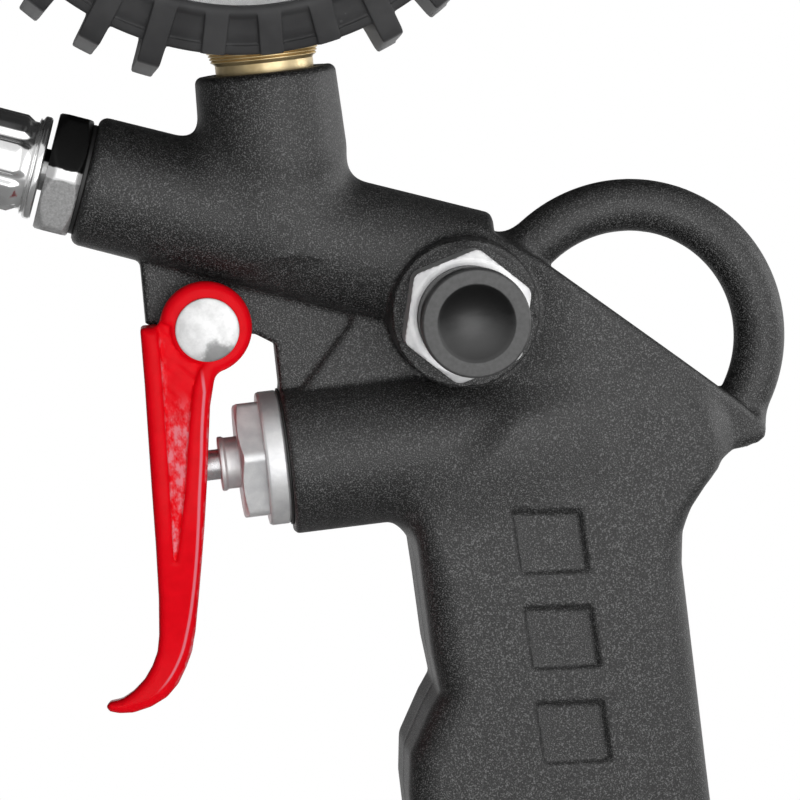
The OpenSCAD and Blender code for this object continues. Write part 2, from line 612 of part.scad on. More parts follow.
module poppet_seal() color("#202022") at_port() translate([poppet_x - seal_t, 0, 0]) along_x()
  tube(poppet_d, spindle_d + 2 * seat_gap, seal_t);
module valve_poppet() color("#c9a552") at_port() translate([poppet_x, 0, 0]) along_x() difference() {
  union() {
    cylinder(h = poppet_t, d = poppet_d);
    cylinder(h = poppet_t + guide_length, d = guide_d);
  }
  translate([0, 0, -1]) cylinder(h = spindle_socket + 1, d = spindle_d + 2 * seat_gap);
}
module valve_spring() color("#9fa1a4") at_port() along_x() {
  start = poppet_x + poppet_t + 0.05;
  translate([0, 0, start]) coil_spring(3.4, 1, chamber_end - start - 0.05, 6);
}

// ---- Bleed valve ----
module bleed_nut() color("#cfd0d2") on_side() difference() {
  union() {
    translate([0, 0, side_boss_reach]) rotate([0, 0, -14.2]) rotate([0, 0, 60]) hexagon(bleed_hex, bleed_hex_t);
    translate([0, 0, bleed_inner_end]) cylinder(h = bleed_thread_length, d = bleed_thread_d);
  }
  translate([0, 0, recess_floor]) cylinder(h = 20, d = button_d + 2 * run_gap);
  translate([0, 0, bleed_inner_end - 1]) cylinder(h = 60, d = bleed_stem_d + 2 * run_gap);
  translate([0, 0, bleed_inner_end - 1]) cylinder(h = bleed_guide - bleed_inner_end + 1, d = bleed_bore_d);
  for (a = [0:120:240]) rotate([0, 0, a]) translate([3.3, 0, bleed_inner_end]) cylinder(h = 20, d = 1.6);
}
module bleed_button() color("#2c2c2e") on_side() difference() {
  rotate_extrude() polygon([
    [0, button_base], [button_d / 2, button_base], [button_d / 2, button_top - 0.7],
    [button_d / 2 - 0.7, button_top], [0, button_top]]);
  translate([0, 0, button_base - 1]) cylinder(h = button_roof - button_base + 1, d = button_hollow_d);
  translate([0, 0, button_base]) cylinder(h = button_roof - button_base + 1, d = bleed_stem_d + 2 * seat_gap);
  dish_r = (pow(dish_d / 2, 2) + pow(dish_depth, 2)) / (2 * dish_depth);
  translate([0, 0, button_top - dish_depth + dish_r]) sphere(r = dish_r);
}
module bleed_stem() color("#b9babd") on_side() {
  translate([0, 0, bleed_inner_end - 0.05 - bleed_seal_t]) cylinder(h = button_roof + 1 - bleed_inner_end + bleed_seal_t, d = bleed_stem_d);
  translate([0, 0, bleed_inner_end - 0.05 - bleed_seal_t - bleed_head_t]) cylinder(h = bleed_head_t, d = bleed_head_d);
}
module bleed_seal() color("#202022") on_side() translate([0, 0, bleed_inner_end - 0.05 - bleed_seal_t])
  tube(bleed_head_d, bleed_stem_d + 2 * seat_gap, bleed_seal_t);
module bleed_spring() color("#9fa1a4") on_side() translate([0, 0, recess_floor + 0.02])
  coil_spring(4.6, 0.8, button_roof - recess_floor - 0.04, 4);

// ---- Gauge ----
module gauge_socket() color("#c9a24a") difference() {
  union() {
    at_port() translate([gauge_setback, 0, 0]) {
      translate([0, 0, gauge_boss_rise - socket_depth]) cylinder(h = socket_depth + 3, d = socket_thread_d);
      translate([0, 0, gauge_boss_rise + 3]) cylinder(h = gauge_rise - case_r - 3.2, d = socket_collar_d);
      translate([0, 0, gauge_boss_rise]) cylinder(h = gauge_rise + block_low + 2, d = socket_shank_d);
    }
    on_gauge() {
      translate([-block_w / 2, block_low, -5]) cube([block_w, block_high - block_low, 10]);
      translate([-block_w / 2, block_low, -5]) cube([block_w, tongue_high - block_low, 5 + back_plate_h]);
    }
  }
  at_port() translate([gauge_setback, 0, 0]) cylinder(h = gauge_z + block_high - 2, d = passage_d - 1);
  on_gauge() for (p = screw_places) translate([p.x, p.y, back_plate_h - 3]) cylinder(h = 10, d = screw_d + 2 * seat_gap);
}
module socket_washer() color("#b87333") at_port()
  translate([gauge_setback, 0, gauge_boss_rise - socket_depth - washer_t]) tube(socket_thread_d, passage_d + 1, washer_t);
module gauge_case() color("#c4c5c7") on_gauge() difference() {
  translate([0, 0, case_back]) difference() {
    cylinder(h = case_front - case_back, r = case_r, $fn = 128);
    translate([0, 0, 1]) cylinder(h = 80, r = case_in_r, $fn = 128);
  }
  rotate([90, 0, 0]) cylinder(h = 60, d = socket_shank_d + 2 * seat_gap);
}
module lug(reach_front, reach_back) rotate([90, 0, 0]) translate([0, 0, -lug_width / 2]) linear_extrude(lug_width)
  polygon([[window_d / 2 + 1.8, gauge_front - 2], [window_d / 2 + 1.8, gauge_front - 0.25], [boot_r - 0.4, gauge_front - 2.5],
    [reach_front, gauge_front - 4.5], [reach_back, gauge_front - lug_depth], [boot_r - 2.5, gauge_front - lug_depth - 2],
    [boot_r - 2.5, gauge_front - 5]]);
module gauge_boot() color("#333335") on_gauge() difference() {
  union() {
    rotate_extrude($fn = 128) polygon([
      [case_r - 11, -gauge_back], [boot_r - 1.5, -gauge_back], [boot_r, -gauge_back + 1.5],
      [boot_r, gauge_front - 4.3], [boot_r - 0.6, gauge_front - 3.4], [window_d / 2 + 2.2, gauge_front - 0.9],
      [window_d / 2 + 1.2, gauge_front],
      [window_d / 2, gauge_front - 0.4], [window_d / 2, gauge_front - boot_lip_t],
      [case_r + 0.15, gauge_front - boot_lip_t], [case_r + 0.15, -gauge_back + boot_back_t], [case_r - 11, -gauge_back + boot_back_t]]);
    for (i = [0:lug_count - 1]) rotate([0, 0, -90 + i * lug_pitch]) {
      near_stem = i < 2 || i == lug_count - 1;
      lug(near_stem ? boot_r + 0.6 : boot_r + lug_reach - 2.2, near_stem ? boot_r + 0.8 : boot_r + lug_reach);
    }
  }
  rotate([90, 0, 0]) cylinder(h = 80, d = socket_collar_d + 0.8);
}
module gauge_bezel() color("#c4c5c7") on_gauge() translate([0, 0, lens_front + 0.05]) difference() {
  cylinder(h = bezel_t - 0.1, r = case_in_r - 0.05, $fn = 128);
  translate([0, 0, -1]) cylinder(h = 9, r = window_d / 2 + 0.1, $fn = 128);
}
module gauge_lens() color([0.9, 0.95, 1, 0.3]) on_gauge() translate([0, 0, lens_front - lens_t]) cylinder(h = lens_t, r = lens_r, $fn = 128);
module lens_spacer() color("#f2f2f0") on_gauge() translate([0, 0, dial_back + dial_t + 0.05]) difference() {
  cylinder(h = spacer_t, r = lens_r, $fn = 128);
  translate([0, 0, -1]) cylinder(h = 20, r = window_d / 2 + 0.2, $fn = 128);
}
module gauge_dial() color("#f7f7f5") on_gauge() difference() {
  translate([0, 0, dial_back]) cylinder(h = dial_t, r = dial_r, $fn = 128);
  cylinder(h = 20, d = 5);
  for (p = dial_screw_places) translate([p.x, p.y, 0]) cylinder(h = 20, d = screw_d + 2 * seat_gap);
}
module dial_screws() color("silver") on_gauge() for (p = dial_screw_places) translate([p.x, p.y, 0]) {
  translate([0, 0, dial_back - 3]) cylinder(h = 3 + dial_t, d = screw_d);
  translate([0, 0, dial_back + dial_t]) bevelled(3.6, 0.8, 0.25);
}
module gauge_pointer() color("#1c1c1e") on_gauge() rotate([0, 0, 225]) {
  difference() {
    union() {
      translate([0, 0, pointer_h - 0.1]) bevelled(7, 1.4, 0.4);
      translate([0, 0, pointer_h]) linear_extrude(0.6) polygon([
        [-11, -2], [-3, -1.3], [8, -1], [dial_r - 9, -0.3], [dial_r - 6, 0], [dial_r - 9, 0.3], [8, 1], [-3, 1.3], [-11, 2]]);
    }
    translate([0, 0, pointer_h - 1]) cylinder(h = 2, d = arbor_d + 2 * seat_gap);
  }
}
module pinion() color("#c9a24a") on_gauge() {
  translate([0, 0, back_plate_h + 0.1]) cylinder(h = pointer_h + 0.9 - back_plate_h - 0.1, d = arbor_d);
  translate([0, 0, 2.6]) linear_extrude(2) polygon([for (i = [0:pinion_teeth - 1])
    each tooth(pinion_r, gear_module, -90 + i * 360 / pinion_teeth)]);
}
hairspring_turns = 4;
hairspring_pitch = 0.9;
function spiral(i, steps, r) = let (a = 360 * hairspring_turns * i / steps)
  (r + hairspring_pitch * hairspring_turns * i / steps) * [cos(a), sin(a)];
module hairspring() color("#b8b8b8") on_gauge() {
  inner = arbor_d / 2 + 1;
  steps = hairspring_turns * 20;
  translate([0, 0, 5.4]) linear_extrude(1) polygon(concat(
    [for (i = [0:steps]) spiral(i, steps, inner)], [for (i = [steps:-1:0]) spiral(i, steps, inner + 0.25)]));
}
module sector_gear() color("#c9a24a") on_gauge() translate([0, sector_z, 0]) {
  translate([0, 0, back_plate_h + 0.1]) cylinder(h = front_plate_h + plate_t - back_plate_h - 0.2, d = arbor_d);
  first = 90 - sector_swing / 2;
  tooth_angle = 360 / sector_teeth;
  side_teeth = floor(sector_swing / 2 / tooth_angle) + 2;
  translate([0, 0, 3]) linear_extrude(1.2) difference() {
    union() {
      polygon(concat([[-1.9, 0]], [[1.9, 0]], [for (i = [-side_teeth:side_teeth])
        each tooth(sector_r, gear_module, first + i * tooth_angle)]));
      circle(d = 6);
      rotate(tail_angle - sector_swing / 2) translate([0, -1.3]) square([tail_r + 1.2, 2.6]);
    }
    rotate(first) translate([6.6, 0]) circle(d = 3);
  }
  rotate([0, 0, tail_angle - sector_swing / 2]) translate([tail_r, 0, 3.2]) cylinder(h = 2.5, d = 1.2);
}
module gauge_link() color("#b9babd") on_gauge() {
  reach = norm(tip_mid - tail_start);
  way = atan2(tip_mid.y - tail_start.y, tip_mid.x - tail_start.x);
  translate([tail_start.x, tail_start.y, 4.7]) rotate([0, 0, way]) linear_extrude(0.8) difference() {
    union() {
      translate([0, -1]) square([reach, 2]);
      circle(d = 4);
      translate([reach, 0]) circle(d = 3);
      translate([reach - link_travel - 0.6, -1.5]) square([link_travel + 0.6, 3]);
    }
    circle(d = 2.3);
    translate([reach, 0]) circle(d = 1.7);
    translate([reach - link_travel - 0.6, -0.85]) square([link_travel + 0.6, 1.7]);
  }
}
module movement_frame() color("#c9a24a") on_gauge() difference() {
  union() {
    translate([-plate_w / 2, back_plate_low, back_plate_h]) cube([plate_w, back_plate_top - back_plate_low, plate_t]);
    translate([-foot_w / 2, foot_low, back_plate_h]) cube([foot_w, back_plate_low + foot_lap - foot_low, plate_t]);
    translate([-plate_w / 2, sector_z - front_plate_rim, front_plate_h])
      cube([plate_w, front_plate_top + front_plate_rim - sector_z, plate_t]);
    for (p = pillar_places) translate([p.x, p.y, back_plate_h]) cylinder(h = front_plate_h - back_plate_h + eps, d = pillar_d);
    for (p = dial_screw_places) translate([p.x, p.y, front_plate_h]) cylinder(h = dial_back - front_plate_h, d = pillar_d + 0.6);
  }
  for (z = [0, sector_z]) translate([0, z, -5]) cylinder(h = 20, d = arbor_d + 2 * run_gap);
  for (p = screw_places) translate([p.x, p.y, -5]) cylinder(h = 10, d = screw_d + 2 * seat_gap);
  for (p = dial_screw_places) translate([p.x, p.y, dial_back - 3.2]) cylinder(h = 10, d = screw_d + 2 * seat_gap);
}
module movement_screws() color("silver") on_gauge() for (p = screw_places) translate([p.x, p.y, 0]) {
  translate([0, 0, back_plate_h - 2.8]) cylinder(h = plate_t + 2.8, d = screw_d);
  translate([0, 0, back_plate_h + plate_t]) bevelled(3.4, 1, 0.3);
}
module bourdon_tube() color("#c98f4e") on_gauge() rotate([0, 0, tube_first]) rotate_extrude(angle = tube_sweep, $fn = 96)
  translate([bourdon_r, 0]) difference() {
    polygon(tube_section(0));
    polygon(tube_section(0.5));
  }
function tube_section(in) = let (half = tube_depth / 2 - tube_bar / 2, r = tube_bar / 2 - in)
  concat(arc_points([0, half], r, 0, 180, arc_steps), arc_points([0, -half], r, 180, 360, arc_steps));
module tube_tip() color("#c9a24a") on_gauge() rotate([0, 0, tube_first - 4]) translate([bourdon_r, 0, 0]) {
  translate([-1.8, 0, -tube_depth / 2]) cube([3.6, bourdon_r * 4 * PI / 180 - 0.2, 8.6]);
  rotate([0, 0, 4 - tube_first]) translate([tip_mid.x - bourdon_r * cos(tube_first - 4), tip_mid.y - bourdon_r * sin(tube_first - 4), 4])
    cylinder(h = 1.8, d = 1.2);
}

// ---- Hose and chuck ----
module barbed_tail(length) for (i = [0:3]) translate([0, 0, i * length / 4])
  cylinder(h = length / 4, d1 = tail_d, d2 = tail_d - 1);
module hose_fitting() color("#b4b5b8") on_barrel() difference() {
  union() {
    translate([0, 0, -fitting_seal_t - 1]) cylinder(h = fitting_seal_t + 1 + fitting_thread_length, d = fitting_thread_d);
    translate([0, 0, -fitting_seal_t - fitting_hex_t]) hexagon(fitting_hex, fitting_hex_t);
    translate([0, 0, -ferrule_start - ferrule_length + 6]) cylinder(h = ferrule_length, d = tail_d - 0.6);
    translate([0, 0, -ferrule_start - ferrule_length + 6]) barbed_tail(16);
  }
  translate([0, 0, -60]) cylinder(h = 100, d = passage_d - 0.6);
}
module fitting_seal() color("#141415") on_barrel() translate([0, 0, -fitting_seal_t])
  tube(fitting_hex - 1, fitting_thread_d + 2 * seat_gap, fitting_seal_t);
module ferrule() difference() {
  rotate_extrude() polygon([
    [0, 0], [ferrule_d / 2 + 0.5, 0], [ferrule_d / 2 + 0.5, 1.6], [ferrule_d / 2, 2.4],
    [ferrule_d / 2, ferrule_length - 0.6], [ferrule_d / 2 - 0.5, ferrule_length], [0, ferrule_length]]);
  translate([0, 0, 1.4]) cylinder(h = 60, d = hose_d + 2 * seat_gap);
  translate([0, 0, -1]) cylinder(h = 60, d = tail_d + 0.2);
}
module hose_ferrule() color("#d4d5d7") on_barrel() translate([0, 0, -ferrule_start]) mirror([0, 0, 1]) ferrule();
module hose() color("#1d1d1f") at_exit() {
  start = [barrel_way.x * hose_grip, 0, barrel_way.y * hose_grip];
  path = concat([start], [for (p = hose_route) [p.x, 0, p.y]], [[chuck_mouth.x, 0, chuck_mouth.y - hose_grip]]);
  sweep_tube(path, hose_d / 2, hose_sides, [0, 1, 0]);
}
module chuck_ferrule() color("#d4d5d7") at_chuck() translate([0, 0, -ferrule_length]) ferrule();
module chuck_body() color("#c3c4c6") at_chuck() translate([0, 0, -chuck_low]) difference() {
  union() {
    bevelled(chuck_d - 2, 1.2, 0);
    translate([0, 0, 1.2]) bevelled(chuck_d, chuck_length - 1.2, 1.2);
    translate([0, 0, chuck_length]) rotate([0, 0, 30]) hexagon(chuck_hex, chuck_hex_t);
    translate([0, 0, chuck_length]) cylinder(h = chuck_low - chuck_length - 6, d = tail_d - 0.6);
    translate([0, 0, chuck_low - 22]) barbed_tail(16);
    translate([clip_pivot.x - clip_eye_d / 2, -clip_width / 2 - 2.4, 16]) cube([clip_eye_d + 2, clip_width + 4.8, 8]);
  }
  translate([0, 0, -1]) cylinder(h = 100, d = passage_d - 1.6);
  translate([0, 0, -1]) cylinder(h = chuck_mouth_depth + 1, d = chuck_mouth_d);
  translate([0, 0, chuck_mouth_depth - eps]) cylinder(h = seal_pocket + eps, d = chuck_mouth_d + 2);
  translate([-chuck_d, -clip_width / 2 - side_gap, 2.6]) cube([chuck_d / 2 + 5, clip_width + 2 * side_gap, 7]);
  translate([-chuck_d - 4, -clip_width / 2 - side_gap, 12]) cube([chuck_d / 2 + 6, clip_width + 2 * side_gap, 16]);
  translate([clip_pivot.x, 20, 20]) rotate([90, 0, 0]) cylinder(h = 40, d = clip_pin_d + 2 * seat_gap);
}
module chuck_seal() color("#202022") at_chuck() translate([0, 0, -chuck_low + chuck_mouth_depth + seal_pocket - seal_t - 0.1])
  tube(chuck_mouth_d + 1.9, 4.2, seal_t);
module depressor_pin() color("#c9a24a") at_chuck() translate([0, 0, -chuck_low]) {
  translate([0, 0, chuck_mouth_depth + 0.3]) cylinder(h = 6, d = 1.8);
  translate([0, 0, chuck_mouth_depth + 5]) cylinder(h = 4, d = passage_d - 1.7);
}
module clip_lever() color("#d4d5d7") at_chuck() translate([clip_pivot.x, 0, clip_pivot.y]) difference() {
  union() {
    side_plate([[-2.6, -1], [-2.4, -9], [-2, -14], [-0.6, -16.2], [clip_claw(), -16.2], [clip_claw(), -14.6],
      [1.6, -13.4], [0.4, -11.4], [2.4, -1]], clip_width);
    side_plate([[-2.6, -1], [-3.4, 6], [-8.2, 21], [-6.4, 21.8], [-0.4, 8], [1.6, 1]], clip_width);
    translate([0, clip_width / 2, 0]) rotate([90, 0, 0]) cylinder(h = clip_width, d = clip_eye_d);
    translate([-8.1, -5, 16.6]) rotate([0, -18, 0]) cube([2, 10, 7]);
  }
  translate([0, 20, 0]) rotate([90, 0, 0]) cylinder(h = 40, d = clip_pin_d + 2 * run_gap);
}
function clip_claw() = chuck_d / 2 + 2 - chuck_mouth_d / 2 - 0.3;
module clip_pin() color("silver") at_chuck() translate([clip_pivot.x, clip_width / 2 + 2.4, clip_pivot.y]) rotate([90, 0, 0])
  cylinder(h = clip_width + 4.8, d = clip_pin_d);
module clip_spring() color("#9fa1a4") at_chuck() translate([-chuck_d / 2 - 0.02, 0, clip_pivot.y + 13.5]) rotate([0, -90, 0])
  coil_spring(1.6, 0.5, 4.2, 5);

body();
inlet_plug();
inlet_washer();
inlet_filter();
trigger();
pivot_rivet();
valve_bonnet();
bonnet_gasket();
plunger_seal();
valve_seat();
plunger();
valve_poppet();
poppet_seal();
valve_spring();
bleed_nut();
bleed_button();
bleed_stem();
bleed_seal();
bleed_spring();
gauge_socket();
socket_washer();
gauge_case();
gauge_boot();
gauge_bezel();
gauge_lens();
lens_spacer();
gauge_dial();
dial_screws();
gauge_pointer();
pinion();
hairspring();
sector_gear();
gauge_link();
movement_frame();
movement_screws();
bourdon_tube();
tube_tip();
hose_fitting();
fitting_seal();
hose_ferrule();
hose();
chuck_ferrule();
chuck_body();
chuck_seal();
depressor_pin();
clip_lever();
clip_pin();
clip_spring();
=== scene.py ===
# Tyre inflator: a cast handle with a trigger valve and a bleed button, a gauge in a rubber boot,
# and a hose to a clip-on chuck.
import json
import math
import bmesh
import bpy
import numpy as np
from mathutils import Matrix, Vector


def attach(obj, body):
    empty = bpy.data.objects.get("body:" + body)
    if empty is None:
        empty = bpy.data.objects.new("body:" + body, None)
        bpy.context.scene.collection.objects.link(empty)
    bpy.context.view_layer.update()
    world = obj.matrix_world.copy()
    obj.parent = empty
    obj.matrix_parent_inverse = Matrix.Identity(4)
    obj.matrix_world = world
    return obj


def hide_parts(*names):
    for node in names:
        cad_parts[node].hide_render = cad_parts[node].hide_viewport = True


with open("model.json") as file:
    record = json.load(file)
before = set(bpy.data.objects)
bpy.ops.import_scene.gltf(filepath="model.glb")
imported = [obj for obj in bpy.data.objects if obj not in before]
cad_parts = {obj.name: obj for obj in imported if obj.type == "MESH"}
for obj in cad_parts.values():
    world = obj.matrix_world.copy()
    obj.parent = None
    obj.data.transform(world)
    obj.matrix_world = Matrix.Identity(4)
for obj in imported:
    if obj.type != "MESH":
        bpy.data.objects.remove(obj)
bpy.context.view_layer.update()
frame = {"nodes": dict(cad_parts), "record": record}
print("frame loaded:", len(frame["nodes"]), "nodes")

mm = 0.001


# ---- shader nodes ----
def addNode(tree, kind, values=None, **settings):
    # values are by input: a number, a colour, or the output that feeds it
    node = tree.nodes.new(kind)
    for key, value in settings.items():
        setattr(node, key, value)
    for key, value in (values or {}).items():
        if isinstance(value, bpy.types.NodeSocket):
            tree.links.new(value, node.inputs[key])
        else:
            node.inputs[key].default_value = value
    return node


def mathOf(tree, operation, *inputs):
    return addNode(tree, "ShaderNodeMath", dict(enumerate(inputs)), operation=operation).outputs[0]


def product(tree, *factors):
    last = factors[0]
    for factor in factors[1:]:
        last = mathOf(tree, "MULTIPLY", last, factor)
    return last


def rangeOf(tree, source, low, high, first=0.0, last=1.0, kind="SMOOTHSTEP"):
    values = {"Value": source, "From Min": low, "From Max": high, "To Min": first, "To Max": last}
    return addNode(tree, "ShaderNodeMapRange", values, interpolation_type=kind).outputs["Result"]


def distanceOf(tree, source, axes=(1, 1, 1)):
    # how far a point lies from zero, counted along these axes
    flat = addNode(tree, "ShaderNodeVectorMath", {0: source, 1: axes}, operation="MULTIPLY")
    return addNode(tree, "ShaderNodeVectorMath", {0: flat.outputs["Vector"]},
                   operation="LENGTH").outputs["Value"]


def mixOf(tree, factor, first, second, blend="MIX"):
    values = {"Factor": factor, "A": first, "B": second}
    return addNode(tree, "ShaderNodeMix", values, data_type="RGBA", blend_type=blend).outputs["Result"]


def paintOf(name, color, metallic=0.0, roughness=0.5, more=None):
    # a material, its node tree and its shader; more are further sockets of the shader
    paint = bpy.data.materials.new(name)
    paint.use_nodes = True
    shader = paint.node_tree.nodes["Principled BSDF"]
    values = {"Base Color": (*color, 1), "Metallic": metallic, "Roughness": roughness, **(more or {})}
    for key, value in values.items():
        shader.inputs[key].default_value = value
    return paint, paint.node_tree, shader


def grainOf(tree, scale, detail=2.0, roughness=0.5, stretch=(1, 1, 1)):
    coords = addNode(tree, "ShaderNodeTexCoord")
    mapping = addNode(tree, "ShaderNodeMapping", {"Vector": coords.outputs["Object"], "Scale": stretch})
    values = {"Vector": mapping.outputs["Vector"], "Scale": scale, "Detail": detail, "Roughness": roughness}
    return addNode(tree, "ShaderNodeTexNoise", values).outputs["Fac"]


def rampOf(tree, source, stops):
    # a stop is a place from 0 to 1 and its colour, or its grey
    ramp = addNode(tree, "ShaderNodeValToRGB", {"Fac": source})
    elements = ramp.color_ramp.elements
    while len(elements) < len(stops):
        elements.new(0.5)
    for element, (place, color) in zip(elements, stops):
        element.position = place
        element.color = (*color, 1) if hasattr(color, "__len__") else (color, color, color, 1)
    return ramp.outputs["Color"]


def bumpOf(tree, shader, source, strength, depth):
    bump = addNode(tree, "ShaderNodeBump", {"Height": source, "Strength": strength, "Distance": depth})
    tree.links.new(bump.outputs["Normal"], shader.inputs["Normal"])


def tinted(tree, shader, source, factor, color):
    # the colour so far, turned towards another where the factor is high
    result = mixOf(tree, factor, source, (*color, 1))
    tree.links.new(result, shader.inputs["Base Color"])
    return result


def placeOf(tree, where):
    # where a point lies from the middle of a seat, in millimetres: as one vector, and its x, y and z
    coords = addNode(tree, "ShaderNodeTexCoord")
    values = {0: coords.outputs["Object"], 1: (1 / mm,) * 3, 2: -Vector(where[1])}
    place = addNode(tree, "ShaderNodeVectorMath", values, operation="MULTIPLY_ADD").outputs["Vector"]
    return place, *addNode(tree, "ShaderNodeSeparateXYZ", {0: place}).outputs


# ---- camera, lamps and floor ----
studio = {
    "cameraPlace": (-0.0652, -0.450, 0.1921),
    "cameraAim": (-0.0251, 0.0, 0.1269),
    "cameraLean": 6.09,          # degrees that the picture leans
    "cameraLens": 124.8,
    "cameraSensor": 36,
    "cameraShift": (0.05, -0.05),
    "cameraReach": (0.01, 20),
    "aim": (-0.02, 0.0, 0.12),   # what the lamps point at
    # place, size and power, and whether the lamp has a shape in reflections
    "lamps": {
        "keyLamp": ((0.30, -0.95, 0.10), 1.0, 4.8, True),
        "sideLamp": ((0.80, 0.05, 0.20), 0.45, 1.5, True),
        "fillLamp": ((-0.15, -1.0, 0.08), 1.2, 5.6, False),
        "backLamp": ((0.35, 0.95, 0.30), 1.2, 5.0, False),
    },
    "skyStrength": 0.015,        # what the white room adds to the lamps
    # where reflections find the room dimmer: a direction, the cosines between which it fades, and by how much
    "dimmer": [
        ((0, 0.6, 0.8), 0.35, 0.85, 0.98),
        ((0, -0.17, -0.985), 0.84, 0.95, 0.8),
        ((-0.985, 0.17, 0), 0.3, 0.97, 0.85),
    ],
    "floorHeight": -0.2,
    "floorRadius": 0.62,
    "floorSides": 96,
    "floorColor": (0.7, 0.7, 0.7),
    "floorRoughness": 0.9,
    "floorFade": (0.25, 0.95),   # shares of the radius between which it fades into the white
    "floorGlow": 0.35,           # how far the fade has gone in the middle
}


def inScene(name, data):
    obj = bpy.data.objects.new(name, data)
    bpy.context.scene.collection.objects.link(obj)
    return obj


def aimAt(obj, place, target, lean=0.0):
    way = Vector(target) - Vector(place)
    turn = way.to_track_quat("-Z", "Y").to_matrix().to_4x4() @ Matrix.Rotation(math.radians(lean), 4, "Z")
    obj.matrix_world = Matrix.Translation(place) @ turn


def addCamera():
    data = bpy.data.cameras.new("camera")
    data.lens = studio["cameraLens"]
    data.sensor_width = studio["cameraSensor"]
    data.shift_x, data.shift_y = studio["cameraShift"]
    data.clip_start, data.clip_end = studio["cameraReach"]
    cam = inScene("camera", data)
    aimAt(cam, studio["cameraPlace"], studio["cameraAim"], -studio["cameraLean"])
    bpy.context.scene.camera = cam


def addLamps():
    for name, (place, size, power, glossy) in studio["lamps"].items():
        data = bpy.data.lights.new(name, "AREA")
        data.shape = "SQUARE"
        data.size = size
        data.energy = power
        lamp = inScene(name, data)
        aimAt(lamp, place, studio["aim"])
        lamp.visible_glossy = glossy


def addWorld():
    # white where the camera and glass look; metal and gloss see it too, but dimmer on three sides
    world = bpy.data.worlds.new("studio")
    world.use_nodes = True
    tree = world.node_tree
    background = tree.nodes["Background"]
    background.inputs["Color"].default_value = (1, 1, 1, 1)
    path = addNode(tree, "ShaderNodeLightPath").outputs
    coords = addNode(tree, "ShaderNodeTexCoord").outputs["Generated"]
    last = path["Is Glossy Ray"]
    for way, near, far, depth in studio["dimmer"]:
        values = {0: coords, 1: Vector(way).normalized()}
        toward = addNode(tree, "ShaderNodeVectorMath", values, operation="DOT_PRODUCT").outputs["Value"]
        last = product(tree, rangeOf(tree, toward, near, far, 1.0, 1 - depth), last)
    for other in (path["Is Camera Ray"], path["Is Transmission Ray"], studio["skyStrength"]):
        last = mathOf(tree, "MAXIMUM", last, other)
    tree.links.new(last, background.inputs["Strength"])
    bpy.context.scene.world = world


def addFloor():
    # a round pale floor whose rim fades into the white behind it
    radius, sides = studio["floorRadius"], studio["floorSides"]
    ring = np.linspace(0, 2 * math.pi, sides + 1)[:-1]
    height = np.full(sides, studio["floorHeight"])
    points = np.stack([radius * np.cos(ring), radius * np.sin(ring), height], -1)
    mesh = bpy.data.meshes.new("floor")
    mesh.from_pydata(points.tolist(), [], [list(range(sides))])
    floor = inScene("floor", mesh)
    paint, tree, shader = paintOf("floorPaint", studio["floorColor"], roughness=studio["floorRoughness"])
    away = distanceOf(tree, addNode(tree, "ShaderNodeTexCoord").outputs["Object"], (1, 1, 0))
    near, far = studio["floorFade"]
    fade = rangeOf(tree, away, near * radius, far * radius, studio["floorGlow"], 1.0, "LINEAR")
    toCamera = addNode(tree, "ShaderNodeLightPath").outputs["Is Camera Ray"]
    glow = addNode(tree, "ShaderNodeEmission", {"Color": (1, 1, 1, 1), "Strength": 1.0})
    values = {"Fac": product(tree, fade, toCamera), 1: shader.outputs[0], 2: glow.outputs[0]}
    mix = addNode(tree, "ShaderNodeMixShader", values)
    tree.links.new(mix.outputs[0], tree.nodes["Material Output"].inputs["Surface"])
    mesh.materials.append(paint)


bpy.context.scene.view_settings.view_transform = "Standard"
addCamera()
addLamps()
addWorld()
addFloor()
print("studio ready")


# ---- frames that the pieces are built in, all in millimetres ----
def seat(place, alongX, alongZ):
    # a right-handed frame: columns are its own x, y and z
    x, z = np.array(alongX, float), np.array(alongZ, float)
    return np.stack([x, np.cross(z, x), z], -1), np.array(place, float)


def moved(where, x=0.0, y=0.0, z=0.0):
    # the same frame, its middle carried along the row's axes
    return where[0], where[1] + np.array([x, y, z], float)


def toRow(points, where):
    turn, place = where
    return (np.asarray(points, float) @ turn.T + place) * mm


places = {
    "port": (-39.0, 0.0, 112.0),     # centre of the valve port's face
    "barrelFace": (-66.3, 0.0, 161.4),
    "barrelTilt": 20.75,
    "sideBoss": (-8.5, 0.0, 134.2),
    "gauge": (-35.5, 0.0, 225.5),
    "hoseAhead": 34.2,               # how far before the barrel's face the hose leaves its ferrule
}
tilt = math.radians(places["barrelTilt"])
rowSeat = seat((0, 0, 0), (1, 0, 0), (0, 0, 1))
portSeat = seat(places["port"], (1, 0, 0), (0, 0, 1))
valveSeat = seat(places["port"], (0, 0, -1), (1, 0, 0))
barrelWay = np.array([math.cos(tilt), 0, -math.sin(tilt)])
barrelSeat = seat(places["barrelFace"], (-math.sin(tilt), 0, -math.cos(tilt)), barrelWay)
sideSeat = seat(places["sideBoss"], (1, 0, 0), (0, -1, 0))
gaugeSeat = seat(places["gauge"], (1, 0, 0), (0, -1, 0))
hoseExit = np.round(np.array(places["barrelFace"]) - places["hoseAhead"] * barrelWay, 4)

